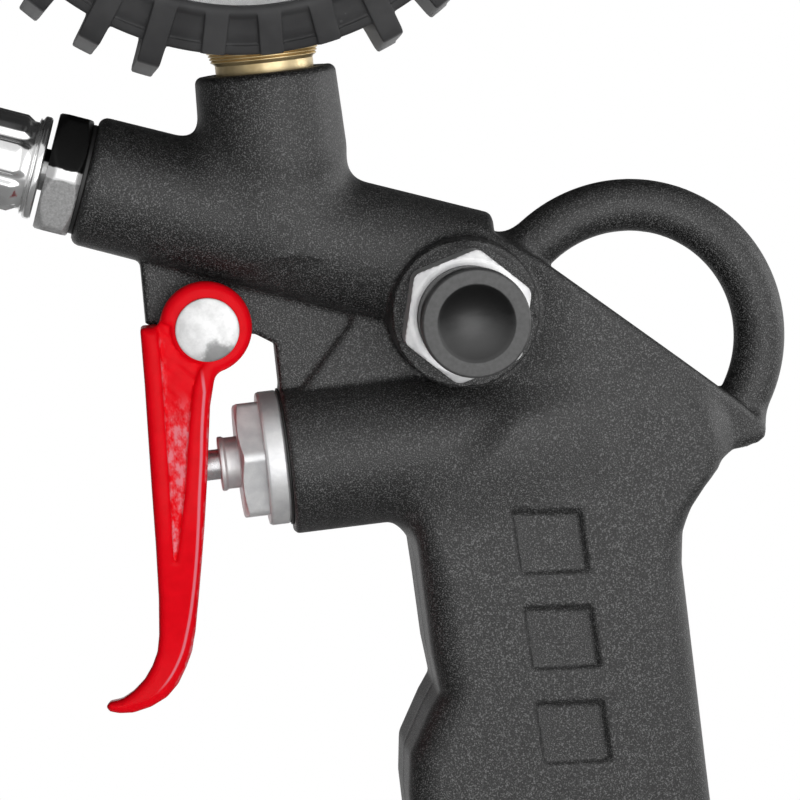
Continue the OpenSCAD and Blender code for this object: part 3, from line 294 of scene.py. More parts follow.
lever = {
    "step": 0.34,
    "bounds": ((-25.2, -9.8, -63.0), (8, 9.8, 8.2)),
    "pivot": (-10.5, 24.0),
    "outline": [
        (-11.0, 1.3), (-11.3, -7.6), (-12.0, -21.5), (-12.6, -34.3), (-13.2, -43.5), (-13.9, -50.0),
        (-14.5, -52.7), (-15.6, -54.9), (-17.2, -57.1), (-19.2, -58.8), (-21.2, -59.9), (-23.3, -60.1),
        (-24.0, -60.8), (-23.4, -61.7), (-21.9, -62.2), (-19.6, -62.4), (-16.6, -61.8), (-13.8, -60.5),
        (-11.7, -58.5), (-10.1, -55.9), (-8.9, -53.5), (-7.8, -50.0), (-6.6, -44.4), (-5.4, -38.3),
        (-4.3, -32.3), (-3.1, -25.0), (-2.0, -17.8), (-1.2, -12.6), (-0.2, -9.0), (0.3, -7.4), (0, 0),
        (-7, 1.2)],
    "eye": (-0.5, 0.15, 7.5),
    "half": (9.0, 3.8),
    "lean": (0.04, 0.2),
    "edge": 1.5,
    "pocket": [
        (-8.15, 2.0), (-8.2, -3.9), (-8.5, -10.1), (-8.8, -17.0), (-9.0, -21.4), (-9.3, -27.2),
        (-9.7, -33.5), (-9.95, -38.6), (-9.1, -35.4), (-7.9, -30.3), (-6.6, -24.6), (-5.7, -19.1),
        (-5.0, -15.5), (-4.3, -12.0), (-3.5, -9.0), (-2.4, -6.4), (-0.4, -4.2), (-3, 0)],
    "pocketDepth": 0.9,
    "ripple": 0.05,             # uneven enamel in the pockets
    "wall": -8.3,                # where the channel behind the front wall begins
    "channelHalf": 6.3,
    "channelLow": -38.0,
    "bore": 2.55,
    # how far the rail's shoulder lies before the pivot, from top to bottom
    "shoulder": (1.9, 2.9, 3.7, 4.6, 5.4, 6.3, 7.4, 8.8, 10.9, 15.6),
    "shoulderFrom": 10.0,
    "shoulderTo": 60.0,
}
leverSeat = moved(portSeat, x=lever["pivot"][0], z=lever["pivot"][1])


# ---- meshes from whole arrays ----
def gridFaces(rows, columns, wrapRows, wrapColumns):
    i = np.arange(rows if wrapRows else rows - 1)[:, None]
    j = np.arange(columns if wrapColumns else columns - 1)[None, :]
    iNext, jNext = (i + 1) % rows, (j + 1) % columns
    quads = np.stack([i * columns + j, i * columns + jNext, iNext * columns + jNext, iNext * columns + j], -1)
    return quads.reshape(-1, 4)


def makeMesh(name, points, faces):
    mesh = bpy.data.meshes.new(name)
    mesh.vertices.add(len(points))
    mesh.vertices.foreach_set("co", np.ascontiguousarray(points, np.float32).ravel())
    mesh.loops.add(faces.size)
    mesh.loops.foreach_set("vertex_index", faces.astype(np.int32).ravel())
    mesh.polygons.add(len(faces))
    mesh.polygons.foreach_set("loop_start", np.arange(0, faces.size, faces.shape[1], dtype=np.int32))
    mesh.update(calc_edges=True)
    mesh.validate()
    return mesh


meshLimits = {"weld": 2e-6, "thin": 1e-8, "sharp": 38}   # metres, and degrees


def addPiece(name, patches, where, slot, replaces=(), body="handle", sharp=meshLimits["sharp"], paint=None):
    # patches are (points, wrapRows, wrapColumns), points a grid in the seat's own millimetres;
    # poles and seams are welded
    allPoints, allFaces, start = [], [], 0
    for points, wrapRows, wrapColumns in patches:
        rows, columns = points.shape[:2]
        allPoints.append(toRow(points.reshape(-1, 3), where))
        allFaces.append(gridFaces(rows, columns, wrapRows, wrapColumns) + start)
        start += rows * columns
    mesh = makeMesh(name, np.concatenate(allPoints), np.concatenate(allFaces))
    outwards(mesh, True)
    return finishPiece(name, mesh, slot, replaces, body, sharp, paint)


def outwards(mesh, weld=False):
    work = bmesh.new()
    work.from_mesh(mesh)
    if weld:
        bmesh.ops.remove_doubles(work, verts=work.verts, dist=meshLimits["weld"])
        bmesh.ops.dissolve_degenerate(work, edges=work.edges, dist=meshLimits["thin"])
    bmesh.ops.recalc_face_normals(work, faces=work.faces)
    work.to_mesh(mesh)
    work.free()


def finishPiece(name, mesh, slot, replaces=(), body="handle", sharp=meshLimits["sharp"], paint=None):
    mesh.polygons.foreach_set("use_smooth", np.ones(len(mesh.polygons), bool))
    mesh.set_sharp_from_angle(angle=math.radians(sharp))
    mesh.materials.clear()
    mesh.materials.append(paint or finishes[slot])
    obj = inScene(name, mesh)
    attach(obj, body)
    if replaces:
        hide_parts(*replaces)
    return obj


def roundedLine(corners, radius, steps=4, closed=False):
    # a line through the corners, each corner rounded by its radius (one number, or one for each corner)
    points = np.array(corners, float)
    count = len(points)
    radii = np.broadcast_to(np.asarray(radius, float), (count,))
    made = []
    for i, here in enumerate(points):
        if not closed and i in (0, count - 1) or radii[i] <= 0:
            made.append(here[None])
            continue
        toBack, toNext = points[i - 1] - here, points[(i + 1) % count] - here
        backLength, nextLength = np.linalg.norm(toBack), np.linalg.norm(toNext)
        toBack, toNext = toBack / backLength, toNext / nextLength
        half = math.acos(np.clip(toBack @ toNext, -1, 1)) / 2
        if half > math.radians(89):
            made.append(here[None])
            continue
        cut = min(radii[i] / math.tan(half), 0.45 * backLength, 0.45 * nextLength)
        bend = cut * math.tan(half)
        middle = here + (toBack + toNext) / np.linalg.norm(toBack + toNext) * math.hypot(cut, bend)
        first, last = here + toBack * cut - middle, here + toNext * cut - middle
        share = np.linspace(0, 1, steps + 1)[:, None]
        sweep = math.pi - 2 * half
        arc = (np.sin((1 - share) * sweep) * first + np.sin(share * sweep) * last) / math.sin(sweep)
        made.append(middle + arc)
    return np.concatenate(made)


def turned(profile, around=96, radius=None):
    # a surface of revolution: each (radius, height) of the profile carried round the axis;
    # radius() may change it by angle
    angle = np.linspace(0, 2 * math.pi, around + 1)[:-1][None, :]
    r, h = profile[:, 0][:, None], profile[:, 1][:, None]
    spread = radius(r, h, angle) if radius else r + 0 * angle
    return np.stack([spread * np.cos(angle), spread * np.sin(angle), h + 0 * angle], -1)


def lathe(name, corners, radius, where, slot, replaces=(), around=96, closed=False, **more):
    profile = roundedLine(corners, radius, 4, closed)
    return addPiece(name, [(turned(profile, around), closed, True)], where, slot, replaces, **more)


# ---- shapes from a distance field ----
def easeStep(t):
    t = np.clip(t, 0, 1)
    return t * t * (3 - 2 * t)


def blendMin(a, b, width):
    # the smaller of two distances, with a fillet of about that width where they meet
    h = np.maximum(width - np.abs(a - b), 0)
    return np.minimum(a, b) - h * h / (4 * width)


def blendMax(a, b, width):
    return -blendMin(-a, -b, width)


def roundedPair(a, b, radius):
    # where two limits meet, an edge of that radius
    ax, bx = a + radius, b + radius
    return np.hypot(np.maximum(ax, 0), np.maximum(bx, 0)) + np.minimum(np.maximum(ax, bx), 0) - radius


def outline(px, pz, corners):
    # signed distance to a closed outline, negative inside
    corners = np.asarray(corners, float)
    nearest, inside = None, None
    for (ax, az), (bx, bz) in zip(corners, np.roll(corners, -1, 0)):
        ex, ez = bx - ax, bz - az
        wx, wz = px - ax, pz - az
        t = np.clip((wx * ex + wz * ez) / (ex * ex + ez * ez), 0, 1)
        d = (wx - ex * t) ** 2 + (wz - ez * t) ** 2
        turn = (px - ax) * (bz - az) - (pz - az) * ex
        crossing = ((az > pz) != (bz > pz)) & (turn < 0 if bz > az else turn > 0)
        nearest = d if nearest is None else np.minimum(nearest, d)
        inside = crossing if inside is None else inside ^ crossing
    return np.where(inside, -1, 1) * np.sqrt(nearest)


def plate(flat, y, half, edge):
    return roundedPair(flat, np.abs(y) - half, edge)


def fieldMesh(name, field, low, high, step, where, settle=3):
    # one vertex for each cell that the surface crosses, at the mean of its crossings,
    # then moved along the slope onto the surface
    axes = [np.arange(a, b + step, step) for a, b in zip(low, high)]
    value = field(axes[0][:, None, None], axes[1][None, :, None], axes[2][None, None, :]).astype(np.float32)
    value = np.broadcast_to(value, [len(a) for a in axes])
    inside = value < 0
    corner = [(i, j, k) for i in (0, 1) for j in (0, 1) for k in (0, 1)]
    n = np.array(value.shape)
    count = sum(inside[i:n[0] - 1 + i, j:n[1] - 1 + j, k:n[2] - 1 + k].astype(np.int8) for i, j, k in corner)
    active = (count > 0) & (count < 8)
    cells = np.argwhere(active)
    index = np.full(active.shape, -1, np.int64)
    index[tuple(cells.T)] = np.arange(len(cells))
    at = [value[cells[:, 0] + i, cells[:, 1] + j, cells[:, 2] + k] for i, j, k in corner]
    total, hits = np.zeros((len(cells), 3)), np.zeros(len(cells))
    for a in range(8):
        for b in range(a + 1, 8):
            pa, pb = np.array(corner[a], float), np.array(corner[b], float)
            if np.abs(pa - pb).sum() != 1:
                continue
            cut = (at[a] < 0) != (at[b] < 0)
            t = np.where(cut, at[a] / np.where(cut, at[a] - at[b], 1), 0)
            total += cut[:, None] * (pa + t[:, None] * (pb - pa))
            hits += cut
    points = np.array(low) + (cells + total / hits[:, None]) * step
    tiny = 0.02 * step
    for _ in range(settle):
        d = field(*points.T)
        slope = np.stack([field(*(points + tiny * np.eye(3)[k]).T) - d for k in range(3)], -1) / tiny
        move = -(d / np.maximum((slope ** 2).sum(-1), 0.05))[:, None] * slope
        points = points + np.clip(move, -0.5 * step, 0.5 * step)
    faces = []
    for axis in range(3):
        u, v = (axis + 1) % 3, (axis + 2) % 3
        first = [slice(1, -1)] * 3
        first[axis] = slice(0, -1)
        second = list(first)
        second[axis] = slice(1, None)
        here, there = inside[tuple(first)], inside[tuple(second)]
        for flip in (False, True):
            found = np.argwhere((here & ~there) if not flip else (~here & there))
            found[:, u] += 1
            found[:, v] += 1
            stepU, stepV = np.eye(3, dtype=int)[u], np.eye(3, dtype=int)[v]
            ring = [found - stepU - stepV, found - stepV, found, found - stepU]
            quad = np.stack([index[tuple(c.T)] for c in (ring[::-1] if flip else ring)], -1)
            faces.append(quad)
    return makeMesh(name, toRow(points, where), np.concatenate(faces))


# ---- finishes ----
def powderCoat():
    # fine sandy black: pale specks a fifth of a millimetre wide over a soft mottling
    paint, tree, shader = paintOf("powderCoat", (0.05, 0.05, 0.05), roughness=0.45)
    fine = grainOf(tree, 4600, 1, 0.5)
    specks = rampOf(tree, fine, [(0.30, 0.0), (0.43, 0.001), (0.51, 0.012), (0.59, 0.05), (0.70, 0.15)])
    cloud = rampOf(tree, grainOf(tree, 260, 2), [(0.35, 0.72), (0.65, 1.0)])
    tree.links.new(mixOf(tree, 0.3, specks, cloud, "MULTIPLY"), shader.inputs["Base Color"])
    bumpOf(tree, shader, fine, 0.8, 0.0001)
    return paint


enamel = {
    "tones": [(0.88, 0.002, 0.009), (0.96, 0.003, 0.012)],
    "narrows": (-60, -24),       # heights between which the cheeks come apart
    "frontLean": 0.047,
    "sunk": (0.3, 0.7),          # how far under a cheek's face a pocket starts
    "inFrom": (-9.6, -9.0),      # and how far in from the front wall
    "pocketTop": (-9, -17),
    "pocketFront": (-7, -8),
    "pocketEnd": (0, -2),
    # colour of the painted highlights in the pockets
    "pale": (0.88, 0.24, 0.28),
    "shoulderReach": 20,         # the largest value that the shoulder's curve can hold
    "glintWidth": (0.35, 0.1),
    "glintFrom": (-60, -57),
    "glintTo": (-6, -9),
    "glint": (0.92, 0.32, 0.40),
    "glintShare": 0.65,
}


def redEnamel():
    # thick glossy enamel with painted highlights: pale mottled glints in the pockets and a glint line along
    # the rail's shoulder
    paint, tree, shader = paintOf("redEnamel", (0.93, 0.003, 0.010), roughness=0.25,
                                  more={"Specular IOR Level": 0.06})
    peel = grainOf(tree, 420, 2)
    tone = rampOf(tree, peel, list(zip((0.3, 0.7), enamel["tones"])))
    _, x, y, z = placeOf(tree, leverSeat)
    # how far below the cheek's face a point lies, and how far in from the front
    half = rangeOf(tree, z, *enamel["narrows"], *lever["half"][::-1])
    below = mathOf(tree, "SUBTRACT", half, mathOf(tree, "ABSOLUTE", y))
    inward = mathOf(tree, "SUBTRACT", x, product(tree, z, enamel["frontLean"]))
    lower = mathOf(tree, "MAXIMUM", rangeOf(tree, z, *enamel["pocketTop"]),
                   rangeOf(tree, inward, *enamel["pocketFront"]))
    inPocket = product(tree, rangeOf(tree, below, *enamel["sunk"]), rangeOf(tree, inward, *enamel["inFrom"]),
                       lower, rangeOf(tree, z, *enamel["pocketEnd"]))
    # painted highlight: pale mottled glints over the pocket floors
    pocketGlints = rampOf(tree, grainOf(tree, 480, 3, 0.75, (1, 1, 0.6)), [(0.42, 0.0), (0.52, 0.35), (0.60, 1.0)])
    last = tinted(tree, shader, tone, product(tree, inPocket, pocketGlints), enamel["pale"])
    # painted highlight: a glint line along the rail's shoulder, which follows the back edge a little way in
    # from it
    ends = [-lever[key] for key in ("shoulderFrom", "shoulderTo")]
    edge = addNode(tree, "ShaderNodeFloatCurve", {"Value": rangeOf(tree, z, *ends, kind="LINEAR")})
    curve = edge.mapping.curves[0]
    line = np.array(lever["shoulder"]) / enamel["shoulderReach"]
    curve.points[0].location = (0, line[0])
    curve.points[1].location = (1, line[-1])
    for k, value in enumerate(line[1:-1], 1):
        curve.points.new(k / (len(line) - 1), value)
    edge.mapping.update()
    off = mathOf(tree, "ADD", x, product(tree, edge.outputs["Value"], enamel["shoulderReach"]))
    glint = product(tree, rangeOf(tree, mathOf(tree, "ABSOLUTE", off), *enamel["glintWidth"]),
                    rangeOf(tree, z, *enamel["glintFrom"]), rangeOf(tree, z, *enamel["glintTo"]),
                    enamel["glintShare"])
    tinted(tree, shader, last, glint, enamel["glint"])
    bumpOf(tree, shader, peel, 0.15, 0.0002)
    return paint


def metalPaint(name, light, dark, roughness, grain, strength, depth, spread=0.12, metallic=1.0):
    # cast or plated metal: cloudy brightness and gloss, with fine pits;
    # below 1, metallic leaves a dull oxide film
    paint, tree, shader = paintOf(name, light, metallic, roughness)
    pits = grainOf(tree, grain, 3, 0.6)
    tone = rampOf(tree, grainOf(tree, grain * 0.12, 3), [(0.35, dark), (0.62, light)])
    gloss = rampOf(tree, pits, [(0.3, roughness - spread), (0.7, roughness + spread)])
    tree.links.new(tone, shader.inputs["Base Color"])
    tree.links.new(gloss, shader.inputs["Roughness"])
    bumpOf(tree, shader, pits, strength, depth)
    return paint


def rubberPaint(name, color, pale, roughness, dusty=False):
    # matt rubber with a cloudy tone and, if dusty, a few pale specks
    paint, tree, shader = paintOf(name, color, roughness=roughness)
    last = rampOf(tree, grainOf(tree, 130, 3), [(0.35, color), (0.7, pale)])
    if dusty:
        coords = addNode(tree, "ShaderNodeTexCoord").outputs["Object"]
        specks = addNode(tree, "ShaderNodeTexVoronoi", {"Vector": coords, "Scale": 420.0}).outputs["Distance"]
        spot = rampOf(tree, specks, [(0.0, 1.0), (0.085, 1.0), (0.12, 0.0)])
        few = rampOf(tree, grainOf(tree, 90, 1), [(0.58, 0.0), (0.66, 0.35)])
        last = mixOf(tree, product(tree, spot, few), last, (0.35, 0.35, 0.35, 1))
    tree.links.new(last, shader.inputs["Base Color"])
    bumpOf(tree, shader, grainOf(tree, 1500, 3), 0.25, 0.00008)
    return paint, tree, shader, last


bootTone = {"beyond": (46.8, 48.2), "behind": (-20.7, -19.9), "lug": (0.26, 0.26, 0.262)}


def bootPaint():
    # dark rubber, greyer and dusty on the sides and ends of the lugs
    paint, tree, shader, last = rubberPaint("bootRubber", (0.022, 0.022, 0.023), (0.046, 0.046, 0.047), 0.66,
                                            True)
    place, _, y, _ = placeOf(tree, gaugeSeat)
    beyond = rangeOf(tree, distanceOf(tree, place, (1, 0, 1)), *bootTone["beyond"])
    tinted(tree, shader, last, product(tree, beyond, rangeOf(tree, y, *bootTone["behind"])), bootTone["lug"])
    return paint


def plasticPaint(name, color, roughness, grain=1800, strength=0.1, more=None):
    paint, tree, shader = paintOf(name, color, roughness=roughness, more=more)
    skin = grainOf(tree, grain, 2)
    low, high = [tuple(c * k for c in color) for k in (0.9, 1.05)]
    tree.links.new(rampOf(tree, skin, [(0.3, low), (0.7, high)]), shader.inputs["Base Color"])
    bumpOf(tree, shader, skin, strength, 0.00005)
    return paint


finishes = {
    "powder_coat": powderCoat(),
    "red_enamel": redEnamel(),
    "zinc": metalPaint("zincPlate", (0.76, 0.76, 0.76), (0.62, 0.62, 0.63), 0.42, 2600, 0.35, 0.00005, 0.06,
                       0.6),
    "steel": metalPaint("bareSteel", (0.66, 0.66, 0.67), (0.52, 0.52, 0.53), 0.30, 2600, 0.10, 0.00004, 0.05,
                        0.85),
    "spring_steel": metalPaint("springSteel", (0.50, 0.50, 0.51), (0.38, 0.38, 0.39), 0.28, 2600, 0.08,
                               0.00004),
    "chrome": metalPaint("chromePlate", (0.80, 0.80, 0.80), (0.66, 0.66, 0.66), 0.17, 900, 0.05, 0.00004,
                         0.04, 0.95),
    "brass": metalPaint("turnedBrass", (0.84, 0.68, 0.40), (0.56, 0.43, 0.22), 0.34, 1800, 0.08, 0.00005,
                        0.06, 0.75),
    "bronze": metalPaint("rolledBronze", (0.72, 0.42, 0.22), (0.56, 0.31, 0.15), 0.28, 1800, 0.08, 0.00005,
                         0.06),
    "seal_rubber": rubberPaint("sealRubber", (0.008, 0.008, 0.008), (0.014, 0.014, 0.014), 0.5)[0],
    "boot_rubber": bootPaint(),
    "hose_rubber": rubberPaint("hoseRubber", (0.011, 0.011, 0.012), (0.016, 0.016, 0.017), 0.42)[0],
    "button_plastic": plasticPaint("buttonPlastic", (0.030, 0.030, 0.031), 0.42, 1400, 0.16),
    "seat_plastic": plasticPaint("seatPlastic", (0.70, 0.68, 0.60), 0.4),
    "white_plastic": plasticPaint("whitePlastic", (0.80, 0.80, 0.79), 0.4),
    "dial_enamel": plasticPaint("dialEnamel", (0.86, 0.86, 0.85), 0.35, 900, 0.02),
    "pointer_enamel": plasticPaint("pointerEnamel", (0.012, 0.012, 0.012), 0.3, 1200, 0.04),
    "lens_glass": plasticPaint("lensGlass", (0.9, 0.93, 0.95), 0.03, 300, 0.0, {"Alpha": 0.10, "IOR": 1.5}),
}
for part in frame["record"]["subparts"]:
    node = frame["nodes"][part["node"]]
    node.data.materials.clear()
    node.data.materials.append(finishes[part["material_slot"]])
print("finishes ready")

# ---- hose ----
hose = {
    "diameter": 13.0,
    "route": [
        (0, 0), (-19, 7), (-38.5, 10), (-58.5, 8.5), (-77, 1), (-93, -10.5), (-106, -25.5), (-115.5, -43.5),
        (-121.5, -62.5), (-125, -82), (-126.5, -102), (-127, -122), (-127, -142), (-127, -172),
        (-127, -204.5), (-127, -237), (-127, -269.5), (-127, -302)],
    "around": 40,
    "ringStep": 2.5,
    "tuck": 4.0,                 # how far each end goes on inside its ferrule
}


def runAlong(points):
    return np.concatenate([[0], np.cumsum(np.linalg.norm(np.diff(points, axis=0), axis=1))])


def smoothLine(points, spacing):
    # a curve through the points, eased between each pair by the slopes at its ends, then spaced evenly
    points = np.array(points, float)
    slope = np.gradient(points, runAlong(points), axis=0)
    made = []
    t = np.linspace(0, 1, 25)[:-1, None]
    for i in range(len(points) - 1):
        span = np.linalg.norm(points[i + 1] - points[i])
        made.append((2 * t ** 3 - 3 * t ** 2 + 1) * points[i] + (t ** 3 - 2 * t ** 2 + t) * span * slope[i]
                    + (3 * t ** 2 - 2 * t ** 3) * points[i + 1] + (t ** 3 - t ** 2) * span * slope[i + 1])
    fine = np.concatenate(made + [points[-1:]])
    run = runAlong(fine)
    even = np.linspace(0, run[-1], int(run[-1] / spacing) + 1)
    return np.stack([np.interp(even, run, fine[:, k]) for k in range(fine.shape[1])], -1), run[-1]


def hosePiece():
    flat, length = smoothLine(hose["route"], hose["ringStep"])
    line = np.stack([flat[:, 0], 0 * flat[:, 0], flat[:, 1]], -1) + hoseExit
    ways = [w / np.linalg.norm(w) * hose["tuck"] for w in (line[0] - line[1], line[-1] - line[-2])]
    path = np.concatenate([[line[0] + ways[0]], line, [line[-1] + ways[1]]])
    along = np.gradient(path, axis=0)
    along /= np.linalg.norm(along, axis=1)[:, None]
    side = np.array([0.0, 1.0, 0.0])
    up = np.cross(along, side)
    angle = np.linspace(0, 2 * math.pi, hose["around"] + 1)[:-1][None, :, None]
    ring = path[:, None, :] + hose["diameter"] / 2 * (np.cos(angle) * up[:, None, :] + np.sin(angle) * side)
    caps = [np.repeat(path[[k]][:, None, :], hose["around"], 1) for k in (0, -1)]
    piece = addPiece("hoseTube", [(np.concatenate([caps[0], ring, caps[1]]), False, True)], rowSeat,
                     "hose_rubber", ["hose"])
    print("hose:", round(length, 1), "mm")
    return piece, hoseExit * mm, length * mm, line * mm


hoseTube, hoseStart, hoseLength, hoseLine = hosePiece()

# ---- handle casting ----
cast = {
    "step": 0.56,
    "bounds": ((-33.5, -14.6, -91.5), (86.5, 14, 65)),
    "gripOutline": [
        (19, -2), (19.2, -14), (19.8, -34), (20.5, -40.6), (18.4, -43.6), (14.4, -50.6), (13.6, -57),
        (14.2, -104), (65.2, -104), (63.8, -60), (62.8, -24), (63.3, -18.6), (64.7, -14.2), (66.9, -10.8),
        (69.3, -8.5), (60, -2)],
    "webOutline": [
        (3.4, 5), (3.4, 11.9), (12.5, 21.6), (15.7, 33.1), (30.7, 27.4), (32.6, 37.1), (37.2, 33.8),
        (45.0, 28.2), (75.5, 1.15), (78.6, -2.4), (79.3, -3.6), (79.2, -5.1), (77.9, -5.9), (75.9, -5.9),
        (73.6, -6.3), (70.8, -7.5), (68.9, -8.7), (66.9, -10.8), (62, -16), (24, -26), (24, 5)],
    "swellCore": [
        (26, -4), (36, 3), (50, 4), (62, 2), (68, -2), (66, -9), (62, -16), (62, -24), (66, -110), (8, -110),
        (8, -24), (18, -12)],
    # radii of the corners of the three outlines above
    "gripCorners": [0, 0, 0, 1.6, 1.6, 3.5, 3.5, 0, 0, 6, 2, 3, 4, 5, 0, 0],
    "webCorners": [0, 0, 1, 0, 0, 2, 1.5, 2, 2, 1, 0.6, 0.8, 1, 2, 3, 3, 3, 3, 0, 0, 0],
    "swellCorners": [5, 6, 6, 6, 4, 4, 6, 6, 0, 0, 6, 6],
    "gripHalf": 12.5,
    "webHalf": (4.2, 11.6),      # at the trigger's side and under the loop
    "webGrows": (22.0, 28.0),    # where it starts to thicken, and over what length
    "swellFade": 6.5,            # how far the swell takes to sink to the web
    "gripRound": 5.5,
    "webRound": 1.3,
    "tangOutline": [(-19.8, 46.6), (-20.3, 25.1), (-2.9, 21.5), (0.1, 19.5), (0.1, 5), (19, 5), (19.5, 31.7)],
    "tangHalf": 3.0,
    "pivot": (-10.5, 24.0, 6.2),
    "barrelFace": (-27.3, 49.4),
    "barrelLength": 66.0,
    "barrelRadius": (10.5, 11.0),
    "portRadius": 12.4,
    "portLength": 50.0,
    "gaugeBoss": (3.5, 63.7, 11.35, 11.85),
    "sideBoss": (30.5, 22.2, 12.0, 13.35),
    "sideSpot": (11.2, 12.98),   # the spot face that the bleed nut sits on
    "loop": (58.5, 13.0, 22.4, 4.2),
    "loopLean": 41.5,            # degrees that its open side leans back
    "loopFoot": 2.2,             # how far its ends reach past its middle
    "panelCorner": (34.6, -10.7),
    "panelSize": (11.6, 11.0, 1.1),
    "panelStep": (0.35, -16.1),  # from one panel to the next
    "panelLean": 0.55,
    "panelDepth": (0.75, 1.0),   # at its front and back edges
    "panelWalls": (0.95, 1.3, 1.35, 1.6),   # slope of its top, back, bottom and front walls
    "seam": (0.10, 0.55),        # height and width of the casting's parting line
    "gripEnd": -90,
    # the threaded holes: radius, and where each ends
    "portHole": (8.05, 23), "gripHole": (6.6, -76), "gaugeHole": (8.35, 49.7), "barrelHole": (6.6, 14),
    "sideHole": (6.55, -3), "pivotHole": 2.55, "gripMiddle": 39,
}


def handleField(x, y, z):
    side = np.abs(y)
    # grip and web in one plate, whose thickness and edge rounding change smoothly over its outline
    flat = blendMin(outline(x, z, gripCurve), outline(x, z, webCurve), 3.0)
    # the swell rises more gently beside the port
    gentle = easeStep((40 - x) / 14) * easeStep((z + 30) / 14)
    swell = easeStep(1 - (outline(x, z, swellCurve) + 4 * gentle) / (cast["swellFade"] + 6 * gentle))
    thin, thick = cast["webHalf"]
    grown = easeStep((x - cast["webGrows"][0]) / cast["webGrows"][1])
    web = thin + (thick - thin) * grown - 5.5 * easeStep((x - 62) / 18)
    half = web + (cast["gripHalf"] - web) * swell
    edge = cast["webRound"] + (cast["gripRound"] - cast["webRound"]) * easeStep((-z - 1) / 24)
    field = roundedPair(roundedPair(flat, side - half, edge), cast["gripEnd"] - z + 0 * x, 1.2)
    port = roundedPair(np.hypot(y, z) - cast["portRadius"] + 2.4 * easeStep((x - 32) / 18),
                       np.maximum(-x, x - cast["portLength"]), 0.8)
    field = blendMin(field, port, 0.9 + 5.5 * np.maximum(easeStep((x - 25) / 12),
                                                         easeStep((8 - z) / 9) * easeStep((x - 10) / 9)))
    # tang for the trigger
    pivotX, pivotZ, pivotRadius = cast["pivot"]
    fromPivot = np.hypot(x - pivotX, z - pivotZ)
    tang = blendMin(outline(x, z, cast["tangOutline"]), fromPivot - pivotRadius, 1.0)
    field = blendMin(field, plate(tang, y, cast["tangHalf"], 0.8), 0.6)
    # barrel, gauge boss, side boss and loop
    fromX, fromZ = x - cast["barrelFace"][0], z - cast["barrelFace"][1]
    along = fromX * math.cos(tilt) - fromZ * math.sin(tilt)
    off = np.hypot(fromX * math.sin(tilt) + fromZ * math.cos(tilt), y)
    faceRadius, farRadius = cast["barrelRadius"]
    thick = faceRadius + (farRadius - faceRadius) * np.clip(along / 64, 0, 1)
    barrel = roundedPair(off - thick, np.maximum(-along, along - cast["barrelLength"]), 1.4)
    bossX, bossTop, topRadius, rootRadius = cast["gaugeBoss"]
    lower = np.clip((bossTop - z) / 13, 0, 1)
    bossRadius = topRadius + (rootRadius - topRadius) * lower - 2.6 * easeStep((51 - z) / 15)
    gaugeBoss = roundedPair(np.hypot(x - bossX, y) - bossRadius, z - bossTop, 1.1)
    gaugeBoss = np.maximum(gaugeBoss, 36 - z)
    field = blendMin(field, blendMin(barrel, gaugeBoss, 4.0), 0.9)
    loopX, loopZ, loopRadius, barRadius = cast["loop"]
    around = np.hypot(x - loopX, z - loopZ)
    ring = np.hypot(around - loopRadius, y) - barRadius
    lean = math.radians(cast["loopLean"])
    away = (x - loopX) * math.sin(lean) + (z - loopZ) * math.cos(lean)
    ring = np.maximum(ring, -cast["loopFoot"] - away)
    field = blendMin(field, ring, 0.7 + 3.3 * easeStep((around - loopRadius) / 3))
    sideX, sideZ, sideRadius, sideReach = cast["sideBoss"]
    sideBoss = roundedPair(np.hypot(x - sideX, z - sideZ) - sideRadius, -y - sideReach, 0.9)
    field = blendMin(field, np.maximum(sideBoss, y + 2), 1.0)
    spotRadius, spotReach = cast["sideSpot"]
    field = blendMax(field, -np.maximum(np.hypot(x - sideX, z - sideZ) - spotRadius, y + spotReach), 0.2)
    # parting line along the middle
    high, wide = cast["seam"]
    field = field - high * np.exp(-(y / wide) ** 2)
    # panels sunk in the grip's sides, deeper towards the back, each with its own slope of wall on every side
    left, top = cast["panelCorner"]
    wide, tall, drop = cast["panelSize"]
    front, back = cast["panelDepth"]
    sink = -3.0 + 0 * x
    for i in range(3):
        px, pz = x - left - i * cast["panelStep"][0], z - top - i * cast["panelStep"][1]
        px = px + cast["panelLean"] * pz / tall
        pz = pz + drop * px / wide
        floor = front + (back - front) * np.clip(px / wide, 0, 1)
        for wall, slope in zip((-pz, wide - px, pz + tall, px), cast["panelWalls"]):
            floor = np.minimum(floor, slope * wall)
        sink = np.maximum(sink, floor)
    field = np.where(z < 0, blendMax(field, side - cast["gripHalf"] + np.maximum(sink, -2.0), 0.25), field)
    # threaded holes
    holes = [
        (np.hypot(y, z), x, cast["portHole"]),
        (np.hypot(x - cast["gripMiddle"], y), z, cast["gripHole"]),
        (off, along, cast["barrelHole"])]
    holes = [np.maximum(away - radius, at - end) for away, at, (radius, end) in holes]
    radius, end = cast["gaugeHole"]
    holes.append(np.maximum(np.hypot(x - bossX, y) - radius, end - z))
    radius, end = cast["sideHole"]
    holes.append(np.maximum(np.hypot(x - sideX, z - sideZ) - radius, y - end))
    holes.append(fromPivot - cast["pivotHole"] + 0 * y)
    for hole in holes:
        field = np.maximum(field, -hole)
    return field


gripCurve = roundedLine(cast["gripOutline"], cast["gripCorners"], 4, True)
webCurve = roundedLine(cast["webOutline"], cast["webCorners"], 4, True)
swellCurve = roundedLine(cast["swellCore"], cast["swellCorners"], 4, True)
handle = fieldMesh("handleCasting", handleField, *cast["bounds"], cast["step"], portSeat)
finishPiece("handleCasting", handle, "powder_coat", ["body"], sharp=50)
print("handle casting:", len(handle.polygons), "faces")


# ---- nuts ----
def hexRadius(angle, flats, cut):
    # distance from the axis to a hexagon whose faces look along 0, 60 ... degrees,
    # its corners cut to a radius
    third = math.pi / 3
    return np.minimum(flats / 2 / np.cos((angle + third / 2) % third - third / 2), cut)


